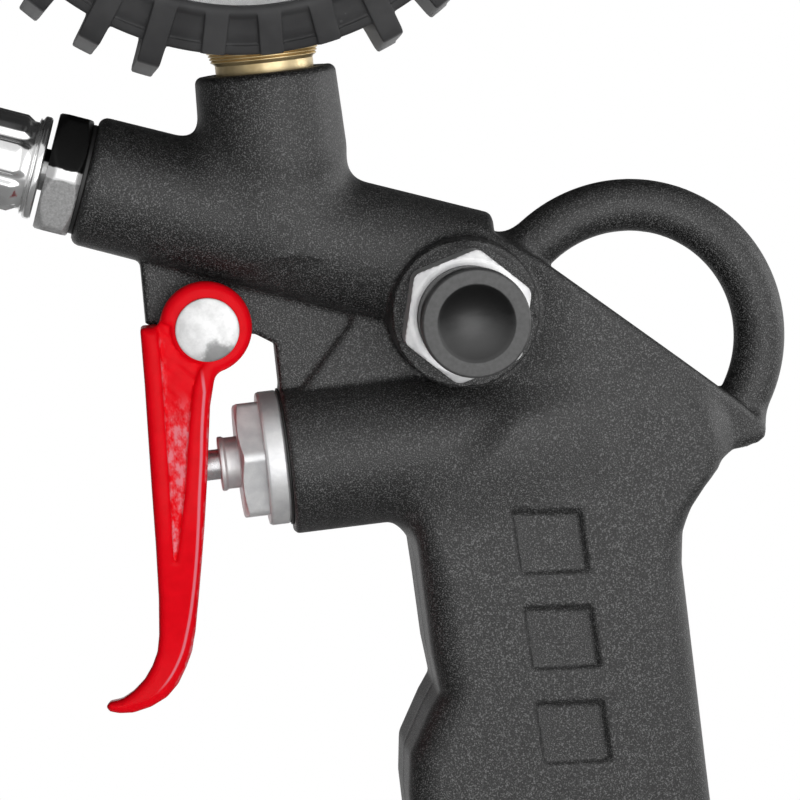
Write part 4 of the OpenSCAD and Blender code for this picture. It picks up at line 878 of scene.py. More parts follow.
def hexNut(flats, low, high, inner=0.0, chamfer=0.8, cut=0.965, start=0.0, lowChamfer=None):
    # at each angle the smaller of a double cone's radius and the hexagon's
    reach = flats / 2 / math.cos(math.pi / 6)
    flat = flats / 2 - 0.25
    under = chamfer if lowChamfer is None else lowChamfer
    steps = np.linspace(0, 1, 7)
    rows = [(inner, low), (flat - 0.8, low)]
    rows += [(flat + (reach + 0.1 - flat) * t, low + under * t) for t in steps]
    rows += [(flat + (reach + 0.1 - flat) * t, high - chamfer * t) for t in steps[::-1]]
    rows += [(flat - 0.8, high), (inner, high)]
    points = turned(np.array(rows, float), 180,
                    lambda r, h, a: np.minimum(r, hexRadius(a, flats, cut * reach)))
    c, s = math.cos(math.radians(start)), math.sin(math.radians(start))
    return np.stack([c * points[..., 0] - s * points[..., 1], s * points[..., 0] + c * points[..., 1],
                     points[..., 2]], -1)


# ---- trigger and its rivet ----
def leverField(x, y, z):
    side = np.abs(y)
    # drawn slightly out of square: the far side of the front wall and of the hook falls away
    x = x - lever["lean"][0] * (y + 9) * easeStep((-x - 4) / 5)
    z = z + lever["lean"][1] * (y + lever["half"][1]) * easeStep((-z - 44) / 12)
    eyeX, eyeZ, eyeRadius = lever["eye"]
    eye = np.hypot(x - eyeX, z - eyeZ) - eyeRadius
    dropped = 2.6 * easeStep((y + 4) / 6) * easeStep((-x - 7) / 1.5) * easeStep((z + 12) / 10)
    flat = blendMin(outline(x, z + dropped, leverCurve), eye, 1.2)
    half = lever["half"][0] + (lever["half"][1] - lever["half"][0]) * easeStep((-z - 24) / 36)
    field = roundedPair(flat, side - half, lever["edge"])
    # pocket in each cheek, its floor slightly uneven
    pocket = np.maximum(outline(x, z, pocketCurve), 5.7 - np.hypot(x - eyeX, z - eyeZ))
    waves = np.sin(2.3 * x + 1.1 * z + 1.5 * np.sin(0.8 * z)) + 0.7 * np.sin(3.1 * x + 3.3 * z)
    waves = waves + np.sin(-1.7 * x + 2.1 * z + 2 * np.sin(0.9 * x + y))
    floor = lever["pocketDepth"] + lever["ripple"] * waves
    field = blendMax(field, -np.maximum(pocket, half - floor - side), 0.9)
    # channel for the tang and the plunger
    low = lever["channelLow"] + 0.8 * np.maximum(lever["wall"] + 5 - x, 0)
    channel = np.maximum(np.maximum(lever["wall"] - x, low - z),
                         side - np.minimum(lever["channelHalf"], half - 2.0))
    field = blendMax(field, -channel, 0.6)
    return np.maximum(field, lever["bore"] - np.hypot(x, z) + 0 * y)


leverCorners = [0.5] + [3] * 10 + [0.5, 0.6, 0.5] + [3] * 15 + [0, 0, 0.6]
leverCurve = roundedLine(lever["outline"], leverCorners, 3, True)
pocketCurve = roundedLine(lever["pocket"], [0] + [3] * 6 + [0.3] + [3] * 7 + [1, 0, 0], 3, True)
leverMesh = fieldMesh("triggerLever", leverField, *lever["bounds"], lever["step"], leverSeat)
finishPiece("triggerLever", leverMesh, "red_enamel", ["trigger"], "trigger", 60)
rivet = {
    "greyPatch": (0.9, -9.8, -4.4), "greyPatchReach": (5.2, 3.2), "greyPatchShare": 0.8,
    "shank": 2.5, "head": 5.15, "face": 9.15, "rim": 0.35, "dome": 0.95, "domeAngle": 1.1, "shift": -0.3,
}


def rivetPaint():
    # bright zinc, darker grey in one patch near the rim
    paint, tree, shader = paintOf("rivetZinc", (0.7, 0.7, 0.7), 0.5, 0.45)
    cloud = grainOf(tree, 420, 3, 0.65)
    tone = rampOf(tree, cloud, [(0.35, 0.60), (0.62, 0.76)])
    away = distanceOf(tree, placeOf(tree, moved(leverSeat, *rivet["greyPatch"]))[0])
    reach = mathOf(tree, "ADD", away, product(tree, cloud, 4.0))
    greyPatch = product(tree, rangeOf(tree, reach, *rivet["greyPatchReach"]), rivet["greyPatchShare"])
    tinted(tree, shader, tone, greyPatch, (0.16, 0.16, 0.16))
    bumpOf(tree, shader, cloud, 0.25, 0.0001)
    return paint


def rivetProfile():
    # from the domed head, through the shank, to its mirror image; the dome is a flattened arc
    end, face = rivet["domeAngle"], rivet["face"]
    rows = []
    for t in np.linspace(0.02, end, 9):
        share = (math.cos(t) - math.cos(end)) / (1 - math.cos(end))
        rows.append((rivet["head"] * math.sin(t) / math.sin(end),
                     -face - rivet["rim"] - (rivet["dome"] - rivet["rim"]) * share))
    rows = [(0, rows[0][1])] + rows + [(rivet["head"], -face), (rivet["shank"], -face)]
    return rows + [(r, -h) for r, h in rows[::-1]]


lathe("pivotRivet", rivetProfile(), 0.2, moved((sideSeat[0], leverSeat[1]), rivet["shift"]), "zinc",
      ["pivot_rivet"], sharp=50, paint=rivetPaint())
print("trigger:", len(leverMesh.polygons), "faces")

# ---- main valve ----
bonnet = {
    "hex": 18.5, "turn": -12.0, "lift": 0.5, "hexLow": -7.9, "hexHigh": -3.9, "chamfer": 0.2,
    "lowChamfer": 0.75,
    "cut": 0.975, "flange": 22.1, "gap": 0.4, "neck": 8.7, "neckEnd": -11.0, "bore": 5.1, "thread": 16.0,
    "gasketInner": 8.1, "gasketOuter": 11.3,
}
bonnetSeat = moved(valveSeat, z=bonnet["lift"])


def bonnetPiece():
    bore, flange, thread, neck = [bonnet[key] / 2 for key in ("bore", "flange", "thread", "neck")]
    low, high, end, gap = bonnet["hexLow"], bonnet["hexHigh"], bonnet["neckEnd"], bonnet["gap"]
    body = [(bore, high), (flange - 0.2, high), (flange, high + 0.5), (flange, -2 * gap),
            (flange - 0.3, -gap), (thread, -gap),
            (thread, 10), (7, 10), (7, 19.9), (5, 19.9), (5, 8), (bore, 8)]
    collar = [(bore, end), (neck + 0.15, end), (neck + 0.15, end + 0.7), (neck - 0.1, end + 1.1),
              (neck - 0.1, low + 0.3),
              (bore, low + 0.3)]
    nut = hexNut(bonnet["hex"], low, high + 0.3, 2.8, bonnet["chamfer"], bonnet["cut"], bonnet["turn"],
                 bonnet["lowChamfer"])
    return addPiece("valveBonnet", [
        (nut, False, True),
        (turned(roundedLine(body, [0, 0.25, 0.25, 0.2, 0.2, 0, 0.3, 0, 0.2, 0, 0, 0], 3, True)), True, True),
        (turned(roundedLine(collar, [0.15, 0.25, 0.25, 0.3, 0, 0], 3, True)), True, True),
    ], bonnetSeat, "zinc", ["valve_bonnet"])


def washer(name, inner, outer, low, high, radius, where, slot, replaces, around=96):
    lathe(name, [(inner, low), (outer, low), (outer, high), (inner, high)], radius, where, slot, replaces,
          around, True)


bonnetPiece()
washer("bonnetGasket", bonnet["gasketInner"], bonnet["gasketOuter"], -0.42, 0, 0.12, bonnetSeat,
       "seal_rubber", ["bonnet_gasket"])
plungerRod = {"radius": 2.5, "tip": -18.62, "neck": 8.0, "neckRadius": 1.7, "end": 25.5}
plungerRows = [(plungerRod["radius"] * math.sin(t),
                plungerRod["tip"] + plungerRod["radius"] * (1 - math.cos(t)))
               for t in np.linspace(0, math.pi / 2, 8)]
plungerRows += [(plungerRod["radius"], plungerRod["neck"]), (plungerRod["neckRadius"], plungerRod["neck"]),
                (plungerRod["neckRadius"], plungerRod["end"]), (0, plungerRod["end"])]
lathe("plungerRod", plungerRows, 0, bonnetSeat, "steel", ["plunger"], body="plunger")

# ---- bleed valve ----
bleed = {
    "hex": 19.0, "face": 13.0, "front": 18.0, "turn": -14.2, "chamfer": 0.55, "lowChamfer": 0.3, "cut": 0.972,
    "bore": 8.25, "recess": 14.8, "guide": 2.1, "thread": 6.5, "innerEnd": 3.0, "nutShift": (-0.3, 0, 0.05),
    "capRadius": 8.62, "stemRadius": 8.1, "capShift": (-0.35, 0, 0.15), "capBase": 17.5, "capTop": 27.4,
    "skirt": 2.6, "taper": 4.2, "wall": 1.5, "roof": 22.4, "dish": 6.15, "dishDepth": 3.2, "dishCurve": 2.2,
    # where the paint changes: the dish's edge, the heights of the painted shade and light in the dish, and
    # the painted shade on the cap's side round it
    "dishEdge": (6.2, 6.0), "dishShadeHeights": (6.2, -3.0), "sideShadeDepth": (-27.0, -26.2), "sideShadeEdge": (6.4, 6.8),
}
nutSeat, capSeat = moved(sideSeat, *bleed["nutShift"]), moved(sideSeat, *bleed["capShift"])


def buttonPaint():
    # moulded plastic; painted shade makes the dish black under its upper lip, painted light makes it greyer
    # lower down, and painted shade darkens the cap's side
    paint, tree, shader = paintOf("buttonCap", (0.03, 0.03, 0.03), roughness=0.42)
    skin = grainOf(tree, 1400, 2)
    tone = rampOf(tree, skin, [(0.3, 0.050), (0.7, 0.075)])
    place, _, y, z = placeOf(tree, capSeat)
    away = distanceOf(tree, place, (1, 0, 1))
    # painted shade and light: the dish near black at the top and greyer lower down, with a noisy border
    height = mathOf(tree, "ADD", z, product(tree, grainOf(tree, 240, 3, 0.6, (1, 1, 3)), 3.0))
    low = rampOf(tree, rangeOf(tree, height, *bleed["dishShadeHeights"]),
                 [(0.0, 0.0), (0.3, 0.004), (0.65, 0.04), (1.0, 0.07)])
    last = mixOf(tree, rangeOf(tree, away, *bleed["dishEdge"]), tone, low)
    # painted shade: the cap's side and stem near black
    step = product(tree, rangeOf(tree, y, *bleed["sideShadeDepth"]), rangeOf(tree, away, *bleed["sideShadeEdge"]))
    tinted(tree, shader, last, step, (0.008, 0.008, 0.008))
    bumpOf(tree, shader, skin, 0.16, 0.00005)
    return paint


def bleedPieces():
    bore, front, recess, guide, face = [bleed[key] for key in ("bore", "front", "recess", "guide", "face")]
    nut = hexNut(bleed["hex"], face, front, bore, bleed["chamfer"], bleed["cut"], bleed["turn"],
                 bleed["lowChamfer"])
    thread = [(guide, recess), (guide, bleed["innerEnd"]), (bleed["thread"], bleed["innerEnd"]),
              (bleed["thread"], face), (bore, face)]
    addPiece("bleedNut", [
        (nut, False, True),
        (turned(np.array([(bore, front), (bore, recess), (guide, recess)])), False, True),
        (turned(np.array(thread)), False, True),
    ], nutSeat, "zinc", ["bleed_nut"])
    # the dish deepens as a power of the radius
    top, cap, stem = bleed["capTop"], bleed["capRadius"], bleed["stemRadius"]
    dish, inside, base = bleed["dish"], bleed["stemRadius"] - bleed["wall"], bleed["capBase"]
    rows = [(dish * t, top - 0.05 - bleed["dishDepth"] * (1 - t ** bleed["dishCurve"]))
            for t in np.linspace(0, 1, 12)]
    rows += [(dish + 0.1, top), (cap - 0.3, top), (cap, top - 0.4), (cap, top - bleed["skirt"]),
             (stem, top - bleed["taper"]), (stem, base), (inside, base), (inside, bleed["roof"]),
             (0, bleed["roof"])]
    lathe("bleedButton", rows, [0] * 12 + [0.12, 0.3, 0.3, 1.0, 1.0, 0.2, 0, 0, 0], capSeat, "button_plastic",
          ["bleed_button"], 128, body="bleed", sharp=50, paint=buttonPaint())


bleedPieces()

# ---- hose fitting and the two ferrules ----
fitting = {
    "hex": 19.0, "seal": 0.8, "hexThick": 5.6, "turn": -4.0, "chamfer": 1.3, "lowChamfer": 2.0, "cut": 0.962,
    "bore": 2.2, "thread": 6.55, "threadEnd": 12.0, "sealInner": 6.6, "sealOuter": 9.0,
    # the barbed tail that the hose is pushed on
    "tail": [(-33, 3.2), (-31.8, 3.6), (-29, 3.1), (-28.8, 3.6), (-25.5, 3.1), (-25, 3.4), (-6.2, 3.4)],
    # height over the barrel's axis where the painted dark reflection begins, and how wide its border is; the
    # edges of the painted highlight band
    "darkReflection": (1.6, 1.85), "highlightBand": (-0.3, 0.0),
}


def fittingPaint():
    # dull zinc with a painted dark reflection of the boot on its upper side, its border a little uneven, and
    # a painted highlight band just under it
    paint, tree, shader = paintOf("fittingZinc", (0.6, 0.6, 0.6), 0.6, 0.42)
    pits = grainOf(tree, 2600, 3, 0.6)
    tone = rampOf(tree, pits, [(0.3, 0.38), (0.7, 0.62)])
    _, x, _, z = placeOf(tree, barrelSeat)
    upward = mathOf(tree, "ADD", product(tree, x, math.sin(tilt)), product(tree, z, math.cos(tilt)))
    height = mathOf(tree, "ADD", upward, product(tree, grainOf(tree, 700, 2), 0.6))
    # painted highlight: a white band just above the barrel's axis
    last = tinted(tree, shader, tone, rangeOf(tree, height, *fitting["highlightBand"]), (1.0, 1.0, 1.0))
    # painted dark reflection of the boot above, over the upper side
    tinted(tree, shader, last, rangeOf(tree, height, *fitting["darkReflection"]), (0.004, 0.004, 0.004))
    bumpOf(tree, shader, pits, 0.35, 0.00005)
    return paint


def fittingPieces():
    bore, thread, seal = fitting["bore"], fitting["thread"], -fitting["seal"]
    nut = hexNut(fitting["hex"], seal - fitting["hexThick"], seal, bore, fitting["chamfer"], fitting["cut"],
                 fitting["turn"], fitting["lowChamfer"])
    shank = [(bore, seal), (bore, fitting["threadEnd"]), (thread, fitting["threadEnd"]), (thread, seal)]
    tail = [(r, h) for h, r in fitting["tail"]]
    tail = [(bore, tail[0][1])] + tail + [(bore, tail[-1][1])]
    patches = [(nut, False, True)] + [(turned(np.array(rows, float)), False, True) for rows in (shank, tail)]
    addPiece("hoseFitting", patches, barrelSeat, "zinc", ["hose_fitting"], paint=fittingPaint())
    washer("fittingSeal", fitting["sealInner"], fitting["sealOuter"], seal, 0, 0.2, barrelSeat, "seal_rubber",
           ["fitting_seal"])


fittingPieces()
crimp = {
    "radius": 7.95, "bead": 8.45, "beadHeight": 1.2, "length": 27.0, "start": 7.2, "inner": 6.55, "back": 3.8,
    "backThick": 1.5,
    "pads": 7, "padTurn": 0.41, "padReach": 3.5, "padHalf": 3.2, "padCorner": 1.3, "padEase": 0.9,
    "depth": 0.75, "rows": [(2.9, 12.8), (14.2, 24.0)],
}


def pressed(r, h, angle):
    # a pad is a raised cushion with rounded corners: distance to its outline, eased over its shoulder
    reach = np.abs((angle * crimp["pads"] / (2 * math.pi) + crimp["padTurn"]) % 1 * 2 - 1) * crimp["padReach"]
    corner, cushion = crimp["padCorner"], 0
    for a, b in crimp["rows"]:
        far = np.abs(h - (a + b) / 2) - (b - a) / 2
        gap = np.hypot(np.maximum(far + corner, 0), np.maximum(reach - crimp["padHalf"] + corner, 0)) - corner
        cushion = np.maximum(cushion, easeStep(-gap / crimp["padEase"]))
    low, high = crimp["rows"][0][0] - 0.9, crimp["rows"][-1][-1] + 0.9
    return r + 0 * angle - crimp["depth"] * (1 - cushion) * (r > crimp["inner"] + 1) * (h > low) * (h < high)


def ferruleGrid():
    # a tube crimped between rows of raised pads
    radius, bead, low, back, end = [crimp[key] for key in ("radius", "bead", "beadHeight", "back", "length")]
    heights = np.concatenate([np.linspace(a - 0.8, b + 0.8, 19) for a, b in crimp["rows"]])
    first = [(back, 0), (bead, 0), (bead, low), (radius - 0.3, low + 0.4), (radius, low + 0.7)]
    last = [(radius, end - 2), (radius + 0.25, end - 1.2), (radius + 0.25, end - 0.3), (radius - 0.3, end),
            (crimp["inner"], end), (crimp["inner"], crimp["backThick"]), (back, crimp["backThick"])]
    profile = np.concatenate([
        roundedLine(first, [0.1, 0.5, 0.4, 0.2, 0], 4),
        np.stack([np.full(len(heights), radius), heights], -1),
        roundedLine(last, [0, 0.5, 0.3, 0.3, 0, 0, 0], 4)])
    return turned(profile, 192, pressed)


chuckSeat = moved(rowSeat, *(hoseExit + np.array([hose["route"][-1][0], 0, hose["route"][-1][1]])))
flippedGrid = ferruleGrid() * np.array([1.0, 1.0, -1.0])
addPiece("hoseFerrule", [(flippedGrid - np.array([0, 0, crimp["start"]]), True, True)], barrelSeat, "chrome",
         ["hose_ferrule"], sharp=45)
addPiece("chuckFerrule", [(ferruleGrid() - np.array([0, 0, crimp["length"]]), True, True)], chuckSeat,
         "chrome", ["chuck_ferrule"], sharp=45)
print("fittings done")

# ---- gauge ----
socket = {
    "bore": 2.0, "thread": 8.3, "low": 50.7, "threadEnd": 62.4, "neck": 7.95, "neckEnd": 65.2,
    "threadsLow": 65.6, "ridges": 3,
    "collar": 9.15, "collarLow": 67.2, "collarEnd": 72.3, "top": 6.0, "end": 76.0,
}
gaugeStem = moved(portSeat, cast["gaugeBoss"][0])


def socketPiece():
    # thread up to the handle, a neck, three last turns of thread, and the collar in the case
    bore, thread, low, neck, collar = [socket[key] for key in ("bore", "thread", "low", "neck", "collar")]
    threadEnd, neckEnd = socket["threadEnd"], socket["neckEnd"]
    rows = [(bore, low), (thread - 0.5, low), (thread, low + 0.6), (thread, threadEnd),
            (neck - 0.1, threadEnd + 0.4), (neck, threadEnd + 1.1), (neck, neckEnd),
            (neck + 0.2, neckEnd + 0.3)]
    for k in range(socket["ridges"]):
        at, r = socket["threadsLow"] + 0.5 * k, thread + 0.3 + 0.15 * k
        rows += [(r - 0.28, at), (r, at + 0.18), (r, at + 0.3), (r - 0.28, at + 0.46)]
    rows += [(collar - 0.1, socket["collarLow"]), (collar, socket["collarLow"] + 0.2),
             (collar, socket["collarEnd"]), (socket["top"], socket["collarEnd"]),
             (socket["top"], socket["end"]), (bore, socket["end"])]
    addPiece("gaugeSocket", [(turned(np.array(rows), 128), True, True)], gaugeStem, "brass", ["gauge_socket"],
             sharp=30)


def boxPatch(low, high):
    # a closed box as a grid: middle of the bottom, bottom edge, top edge, middle of the top
    (x0, y0, z0), (x1, y1, z1) = low, high
    ring = np.array([(x0, y0), (x1, y0), (x1, y1), (x0, y1)], float)
    middle = np.repeat(ring.mean(0)[None], 4, 0)
    levels = ((middle, z0), (ring, z0), (ring, z1), (middle, z1))
    return np.stack([np.column_stack([flat, np.full(4, z)]) for flat, z in levels])


socketPiece()
# the block on the socket inside the case, with the step that holds the Bourdon tube
socketBlock = [((-8, -37.4, -5), (8, -31, 5)), ((-8, -37.3, -4.95), (8, -23, -1))]
addPiece("socketBlock", [(boxPatch(low, high), False, True) for low, high in socketBlock], gaugeSeat, "brass")

boot = {
    "lugs": 32, "stemReach": 46.6,
    # radius and height between the lugs, and the same row on a lug
    "rows": [
        ((38.9, 22.4), None), ((38.9, 24.2), None), ((39.15, 24.7), None), ((39.7, 25.0), None),
        ((40.3, 24.95), None), ((40.75, 24.35), (40.7, 24.85)), ((41.0, 24.0), (41.2, 24.7)),
        ((41.3, 23.75), (41.8, 24.5)), ((43.0, 22.95), (43.4, 23.8)), ((44.4, 22.25), (45.0, 23.05)),
        ((44.62, 21.9), (45.5, 22.8)), ((44.9, 21.85), (46.0, 22.55)), ((45.15, 22.1), (46.6, 22.2)),
        ((46.0, 21.65), (48.2, 21.4)), ((46.4, 21.25), (49.5, 20.8)), ((46.5, 20.7), (49.95, 20.4)),
        ((46.5, 19.5), (50.15, 19.8)), ((46.5, 12), (51.0, 12)), ((46.5, 6), (51.6, 6)),
        ((46.5, 3.4), (51.95, 3.4)),
        ((46.5, 2.3), (52.1, 2.7)), ((46.5, 1.5), (51.9, 2.1)), ((46.5, 0.9), (51.2, 1.8)),
        ((46.5, 0.2), (47.4, 0.6)), ((46.5, -0.5), (46.8, 0.1)), ((46.5, -1.2), (46.5, -0.8)),
        ((46.5, -6), None),
        ((46.5, -12.3), None), ((46.25, -13.2), None), ((45.6, -13.8), None), ((44.8, -14), None),
        ((38, -14), None), ((30.2, -14), None), ((30, -13.8), None), ((30, -12.2), None),
        ((41.15, -12.2), None), ((41.15, 22.4), None)],
    # distance across from a lug's middle, and how far the surface has risen onto the lug
    "across": [(-2.35, 0.0), (-2.0, 0.02), (-1.88, 0.12), (-1.82, 0.5), (-1.8, 0.86), (-1.72, 0.96),
               (-1.5, 1.0), (-0.5, 1.0), (0.5, 1.0), (1.5, 1.0), (1.72, 0.96), (1.8, 0.86), (1.82, 0.5),
               (1.88, 0.12), (2.0, 0.02), (2.35, 0.0)],
    "between": 5,
}


def bootGrid():
    low = np.array([a for a, b in boot["rows"]], float)
    high = np.array([b or a for a, b in boot["rows"]], float)
    pitch = 2 * math.pi / boot["lugs"]
    columns = []
    for i in range(boot["lugs"]):
        middle = -math.pi / 2 + i * pitch
        top = high.copy()
        if i < 2 or i == boot["lugs"] - 1:
            top[:, 0] = np.minimum(top[:, 0], np.maximum(boot["stemReach"], low[:, 0]))
        for across, rise in boot["across"]:
            rows = low + rise * (top - low)
            angle = middle + np.arcsin(across / rows[:, 0])
            columns.append(np.stack([rows[:, 0] * np.cos(angle), rows[:, 0] * np.sin(angle), rows[:, 1]], -1))
        edge = math.asin(2.35 / 46.5)
        for t in np.linspace(0, 1, boot["between"] + 2)[1:-1]:
            angle = middle + edge + (pitch - 2 * edge) * t
            flatX, flatY = low[:, 0] * math.cos(angle), low[:, 0] * math.sin(angle)
            columns.append(np.stack([flatX, flatY, low[:, 1]], -1))
    return np.stack(columns, 1)


addPiece("gaugeBoot", [(bootGrid(), True, True)], gaugeSeat, "boot_rubber", ["gauge_boot"], sharp=55)
window = {"bezelInner": 39.0, "bezelOuter": 40.15, "bezelLow": 20.2, "bezelTop": 22.15, "lens": 40.0,
          "lensLow": 18.15, "lensEdge": 20.0, "crown": 1.1}
lathe("gaugeBezel", [
    (window["bezelInner"], window["bezelLow"]), (window["bezelOuter"], window["bezelLow"]),
    (window["bezelOuter"], window["bezelTop"]), (window["bezelOuter"] - 0.55, window["bezelTop"]),
    (window["bezelInner"], window["bezelTop"] - 0.55)],
    0.3, gaugeSeat, "steel", ["gauge_bezel"], 160, True)
# the lens is crowned as half an ellipse
lensRows = [(0, window["lensLow"]), (window["lens"], window["lensLow"]), (window["lens"], window["lensEdge"])]
lensRows += [(window["lens"] * math.cos(t), window["lensEdge"] + window["crown"] * math.sin(t))
             for t in np.linspace(0.05, math.pi / 2, 14)]
lathe("gaugeLens", lensRows, 0, gaugeSeat, "lens_glass", ["gauge_lens"], 128, sharp=60)

dial = {
    "face": 13.0, "back": 12.4, "hole": 5.0, "radius": 40.0, "ink": 0.06, "first": 225.0, "sweep": 270.0,
    "bars": 12, "barParts": 5, "outer": 37.3, "ringWidth": 0.25, "minor": 35.6, "major": 33.6,
    "numberAt": 29.2, "numberSize": 4.6, "barWordAt": -14.5, "barWordSize": 4.4,
    "innerRing": 23.2, "innerRingWidth": 0.2, "psiPerBar": 14.504, "psiLast": 170, "psiStep": 5,
    "psiWhole": 20, "psiNumberAt": 18.6, "psiNumberSize": 2.7, "psiWordAt": -19.6, "psiWordSize": 3.2,
}


def dialAngle(bar):
    return dial["first"] - dial["sweep"] * bar / dial["bars"]


def inkHeights():
    return dial["face"] - 0.02, dial["face"] + dial["ink"]


def inkBar(angle, inner, outer, width):
    # a thin raised stroke along a radius, as a closed box
    c, s = math.cos(math.radians(angle)), math.sin(math.radians(angle))
    ring = ((inner, -width / 2), (outer, -width / 2), (outer, width / 2), (inner, width / 2))
    made = [(r * c - w * s, r * s + w * c, h) for h in inkHeights() for r, w in ring]
    faces = [(3, 2, 1, 0), (4, 5, 6, 7), (0, 1, 5, 4), (1, 2, 6, 5), (2, 3, 7, 6), (3, 0, 4, 7)]
    return np.array(made, float), np.array(faces)


def inkArc(outer, width, count):
    # a thin raised ring from the scale's first mark to its last
    angle = np.radians(np.linspace(dialAngle(0) + 0.3, dialAngle(dial["bars"]) - 0.3, count))[:, None]
    low, high = inkHeights()
    ring = np.array([(outer - width, low), (outer, low), (outer, high), (outer - width, high)])
    points = np.stack([ring[:, 0] * np.cos(angle), ring[:, 0] * np.sin(angle), ring[:, 1] + 0 * angle], -1)
    caps = np.array([(0, 1, 2, 3), (4 * count - 1, 4 * count - 2, 4 * count - 3, 4 * count - 4)])
    return points.reshape(-1, 3), np.concatenate([gridFaces(count, 4, False, True), caps])


def inkWord(word, x, y, size):
    curve = bpy.data.curves.new("word", "FONT")
    curve.body = word
    curve.size = size
    curve.align_x, curve.align_y = "CENTER", "CENTER"
    curve.extrude = dial["ink"] / 2 + 0.01
    curve.resolution_u = 4
    made = bpy.data.objects.new("word", curve)
    mesh = bpy.data.meshes.new_from_object(made)
    points = np.empty(len(mesh.vertices) * 3)
    mesh.vertices.foreach_get("co", points)
    points = points.reshape(-1, 3) + np.array([x, y, dial["face"] + dial["ink"] / 2 - 0.01])
    faces = [list(p.vertices) for p in mesh.polygons]
    bpy.data.objects.remove(made)
    bpy.data.curves.remove(curve)
    bpy.data.meshes.remove(mesh)
    return points, faces


def inkNumber(number, angle, radius, size):
    a = math.radians(angle)
    return inkWord(str(number), radius * math.cos(a), radius * math.sin(a), size)


def printedPiece(name, parts, slot):
    points, faces, start = [], [], 0
    for p, f in parts:
        points.append(p)
        faces += [[int(v) + start for v in face] for face in f]
        start += len(p)
    mesh = bpy.data.meshes.new(name)
    mesh.from_pydata(toRow(np.concatenate(points), gaugeSeat).tolist(), [], faces)
    mesh.validate()
    outwards(mesh)
    return finishPiece(name, mesh, slot, sharp=30)


def barScale():
    made = [inkArc(dial["outer"], dial["ringWidth"], 90)]
    for step in range(dial["bars"] * dial["barParts"] + 1):
        inner, width = (dial["major"], 0.55) if step % dial["barParts"] == 0 else (dial["minor"], 0.22)
        made.append(inkBar(dialAngle(step / dial["barParts"]), inner, dial["outer"] - 0.1, width))
    for bar in range(dial["bars"] + 1):
        made.append(inkNumber(bar, dialAngle(bar), dial["numberAt"], dial["numberSize"]))
    return made + [inkWord("bar", 0, dial["barWordAt"], dial["barWordSize"])]


def psiScale():
    ring = dial["innerRing"]
    made = [inkArc(ring, dial["innerRingWidth"], 80)]
    for psi in range(0, dial["psiLast"] + 1, dial["psiStep"]):
        angle = dialAngle(psi / dial["psiPerBar"])
        whole = psi % dial["psiWhole"] == 0
        made.append(inkBar(angle, ring - (2.0 if whole else 1.2), ring - 0.05, 0.4 if whole else 0.2))
        if whole:
            made.append(inkNumber(psi, angle, dial["psiNumberAt"], dial["psiNumberSize"]))
    return made + [inkWord("psi", 0, dial["psiWordAt"], dial["psiWordSize"])]


washer("gaugeDial", dial["hole"], dial["radius"], dial["back"], dial["face"], 0.1, gaugeSeat, "dial_enamel",
       ["gauge_dial"], 128)
printedPiece("dialScale", barScale(), "pointer_enamel")
printedPiece("dialInnerScale", psiScale(), "red_enamel")

needle = {
    "height": 14.2, "hub": 3.5, "hubHeight": 1.6, "hubEdge": 1.0, "hubTop": 1.4, "edge": 0.35, "ridge": 0.75,
    # along the needle from the hub's middle, and half its width there
    "line": [(-11, 1.9), (-10.2, 2.2), (-4, 1.35), (8, 1.0), (31, 0.42), (34.0, 0.05)],
}


def needlePiece():
    c, s = math.cos(math.radians(dial["first"])), math.sin(math.radians(dial["first"]))
    rows = []
    for x, w in needle["line"]:
        ring = [(-w, 0), (w, 0), (w, needle["edge"]), (0, needle["ridge"]), (-w, needle["edge"])]
        rows.append([(c * x - s * y, s * x + c * y, needle["height"] + h) for y, h in ring])
    rows = [[rows[0][0]] * 5] + rows + [[rows[-1][0]] * 5]
    low, top = needle["height"] - 0.1, needle["height"] + needle["hubHeight"]
    hub = [(0, low), (needle["hub"], low), (needle["hub"], needle["height"] + needle["hubEdge"]),
           (needle["hubTop"], top), (0, top)]
    addPiece("gaugePointer", [
        (np.array(rows), False, True), (turned(roundedLine(hub, [0, 0.15, 0.5, 0.3, 0]), 48), False, True),
    ], gaugeSeat, "pointer_enamel", ["gauge_pointer"], "pointer", 25)


needlePiece()
print("gauge done")

# ---- gauge housing behind the boot ----
housing = {"radius": 41.0, "low": -12.0, "top": 22.2, "rim": 0.8, "floor": -10.9, "edge": 0.4}
lathe("gaugeCase", [
    (0, housing["low"]), (housing["radius"] - housing["edge"], housing["low"]),
    (housing["radius"], housing["low"] + housing["edge"]), (housing["radius"], housing["top"]),
    (housing["radius"] - housing["rim"], housing["top"]),
    (housing["radius"] - housing["rim"], housing["floor"]), (0, housing["floor"])],
    [0, 0.3, 0.3, 0.2, 0.1, 0, 0], gaugeSeat, "steel", ["gauge_case"], 128)

# ---- chuck with its clip ----
chuck = {
    "step": 0.42, "radius": 8.0, "low": -67.8, "high": -31.8, "hex": 15.0, "hexHigh": -27.8, "mouth": 4.2,
    "mouthDepth": 13.0,
    "bounds": ((-14.6, -9, -69), (9, 9, -31)), "clipBounds": ((-9.2, -2.6, -17.2), (6.3, 2.6, 22.8)),
    "clipStep": 0.3, "bore": 2.1, "tail": 3.4, "tailEnd": -8.0,
    "slots": ((-3, -65.2, -58.2), (-6, -56, -39.6)),   # inner end, bottom and top of each
    "pivot": (-10.0, -47.8), "ear": 4.0, "earHalf": 4.4, "slotHalf": 2.4, "leverHalf": 2.0,
    "grooves": (-40.5, -38.0, -35.5),
    "lowerArm": [(-2.6, 0), (-2.5, -9), (-2.0, -14), (-0.6, -16.2), (5.5, -16.2), (5.5, -14.6), (1.6, -13.4),
                 (0.4, -11.4), (2.4, 0)],
    "upperArm": [(-2.6, -1), (-3.4, 6), (-8.2, 21), (-6.4, 21.8), (-0.4, 8), (1.6, 1)],
}


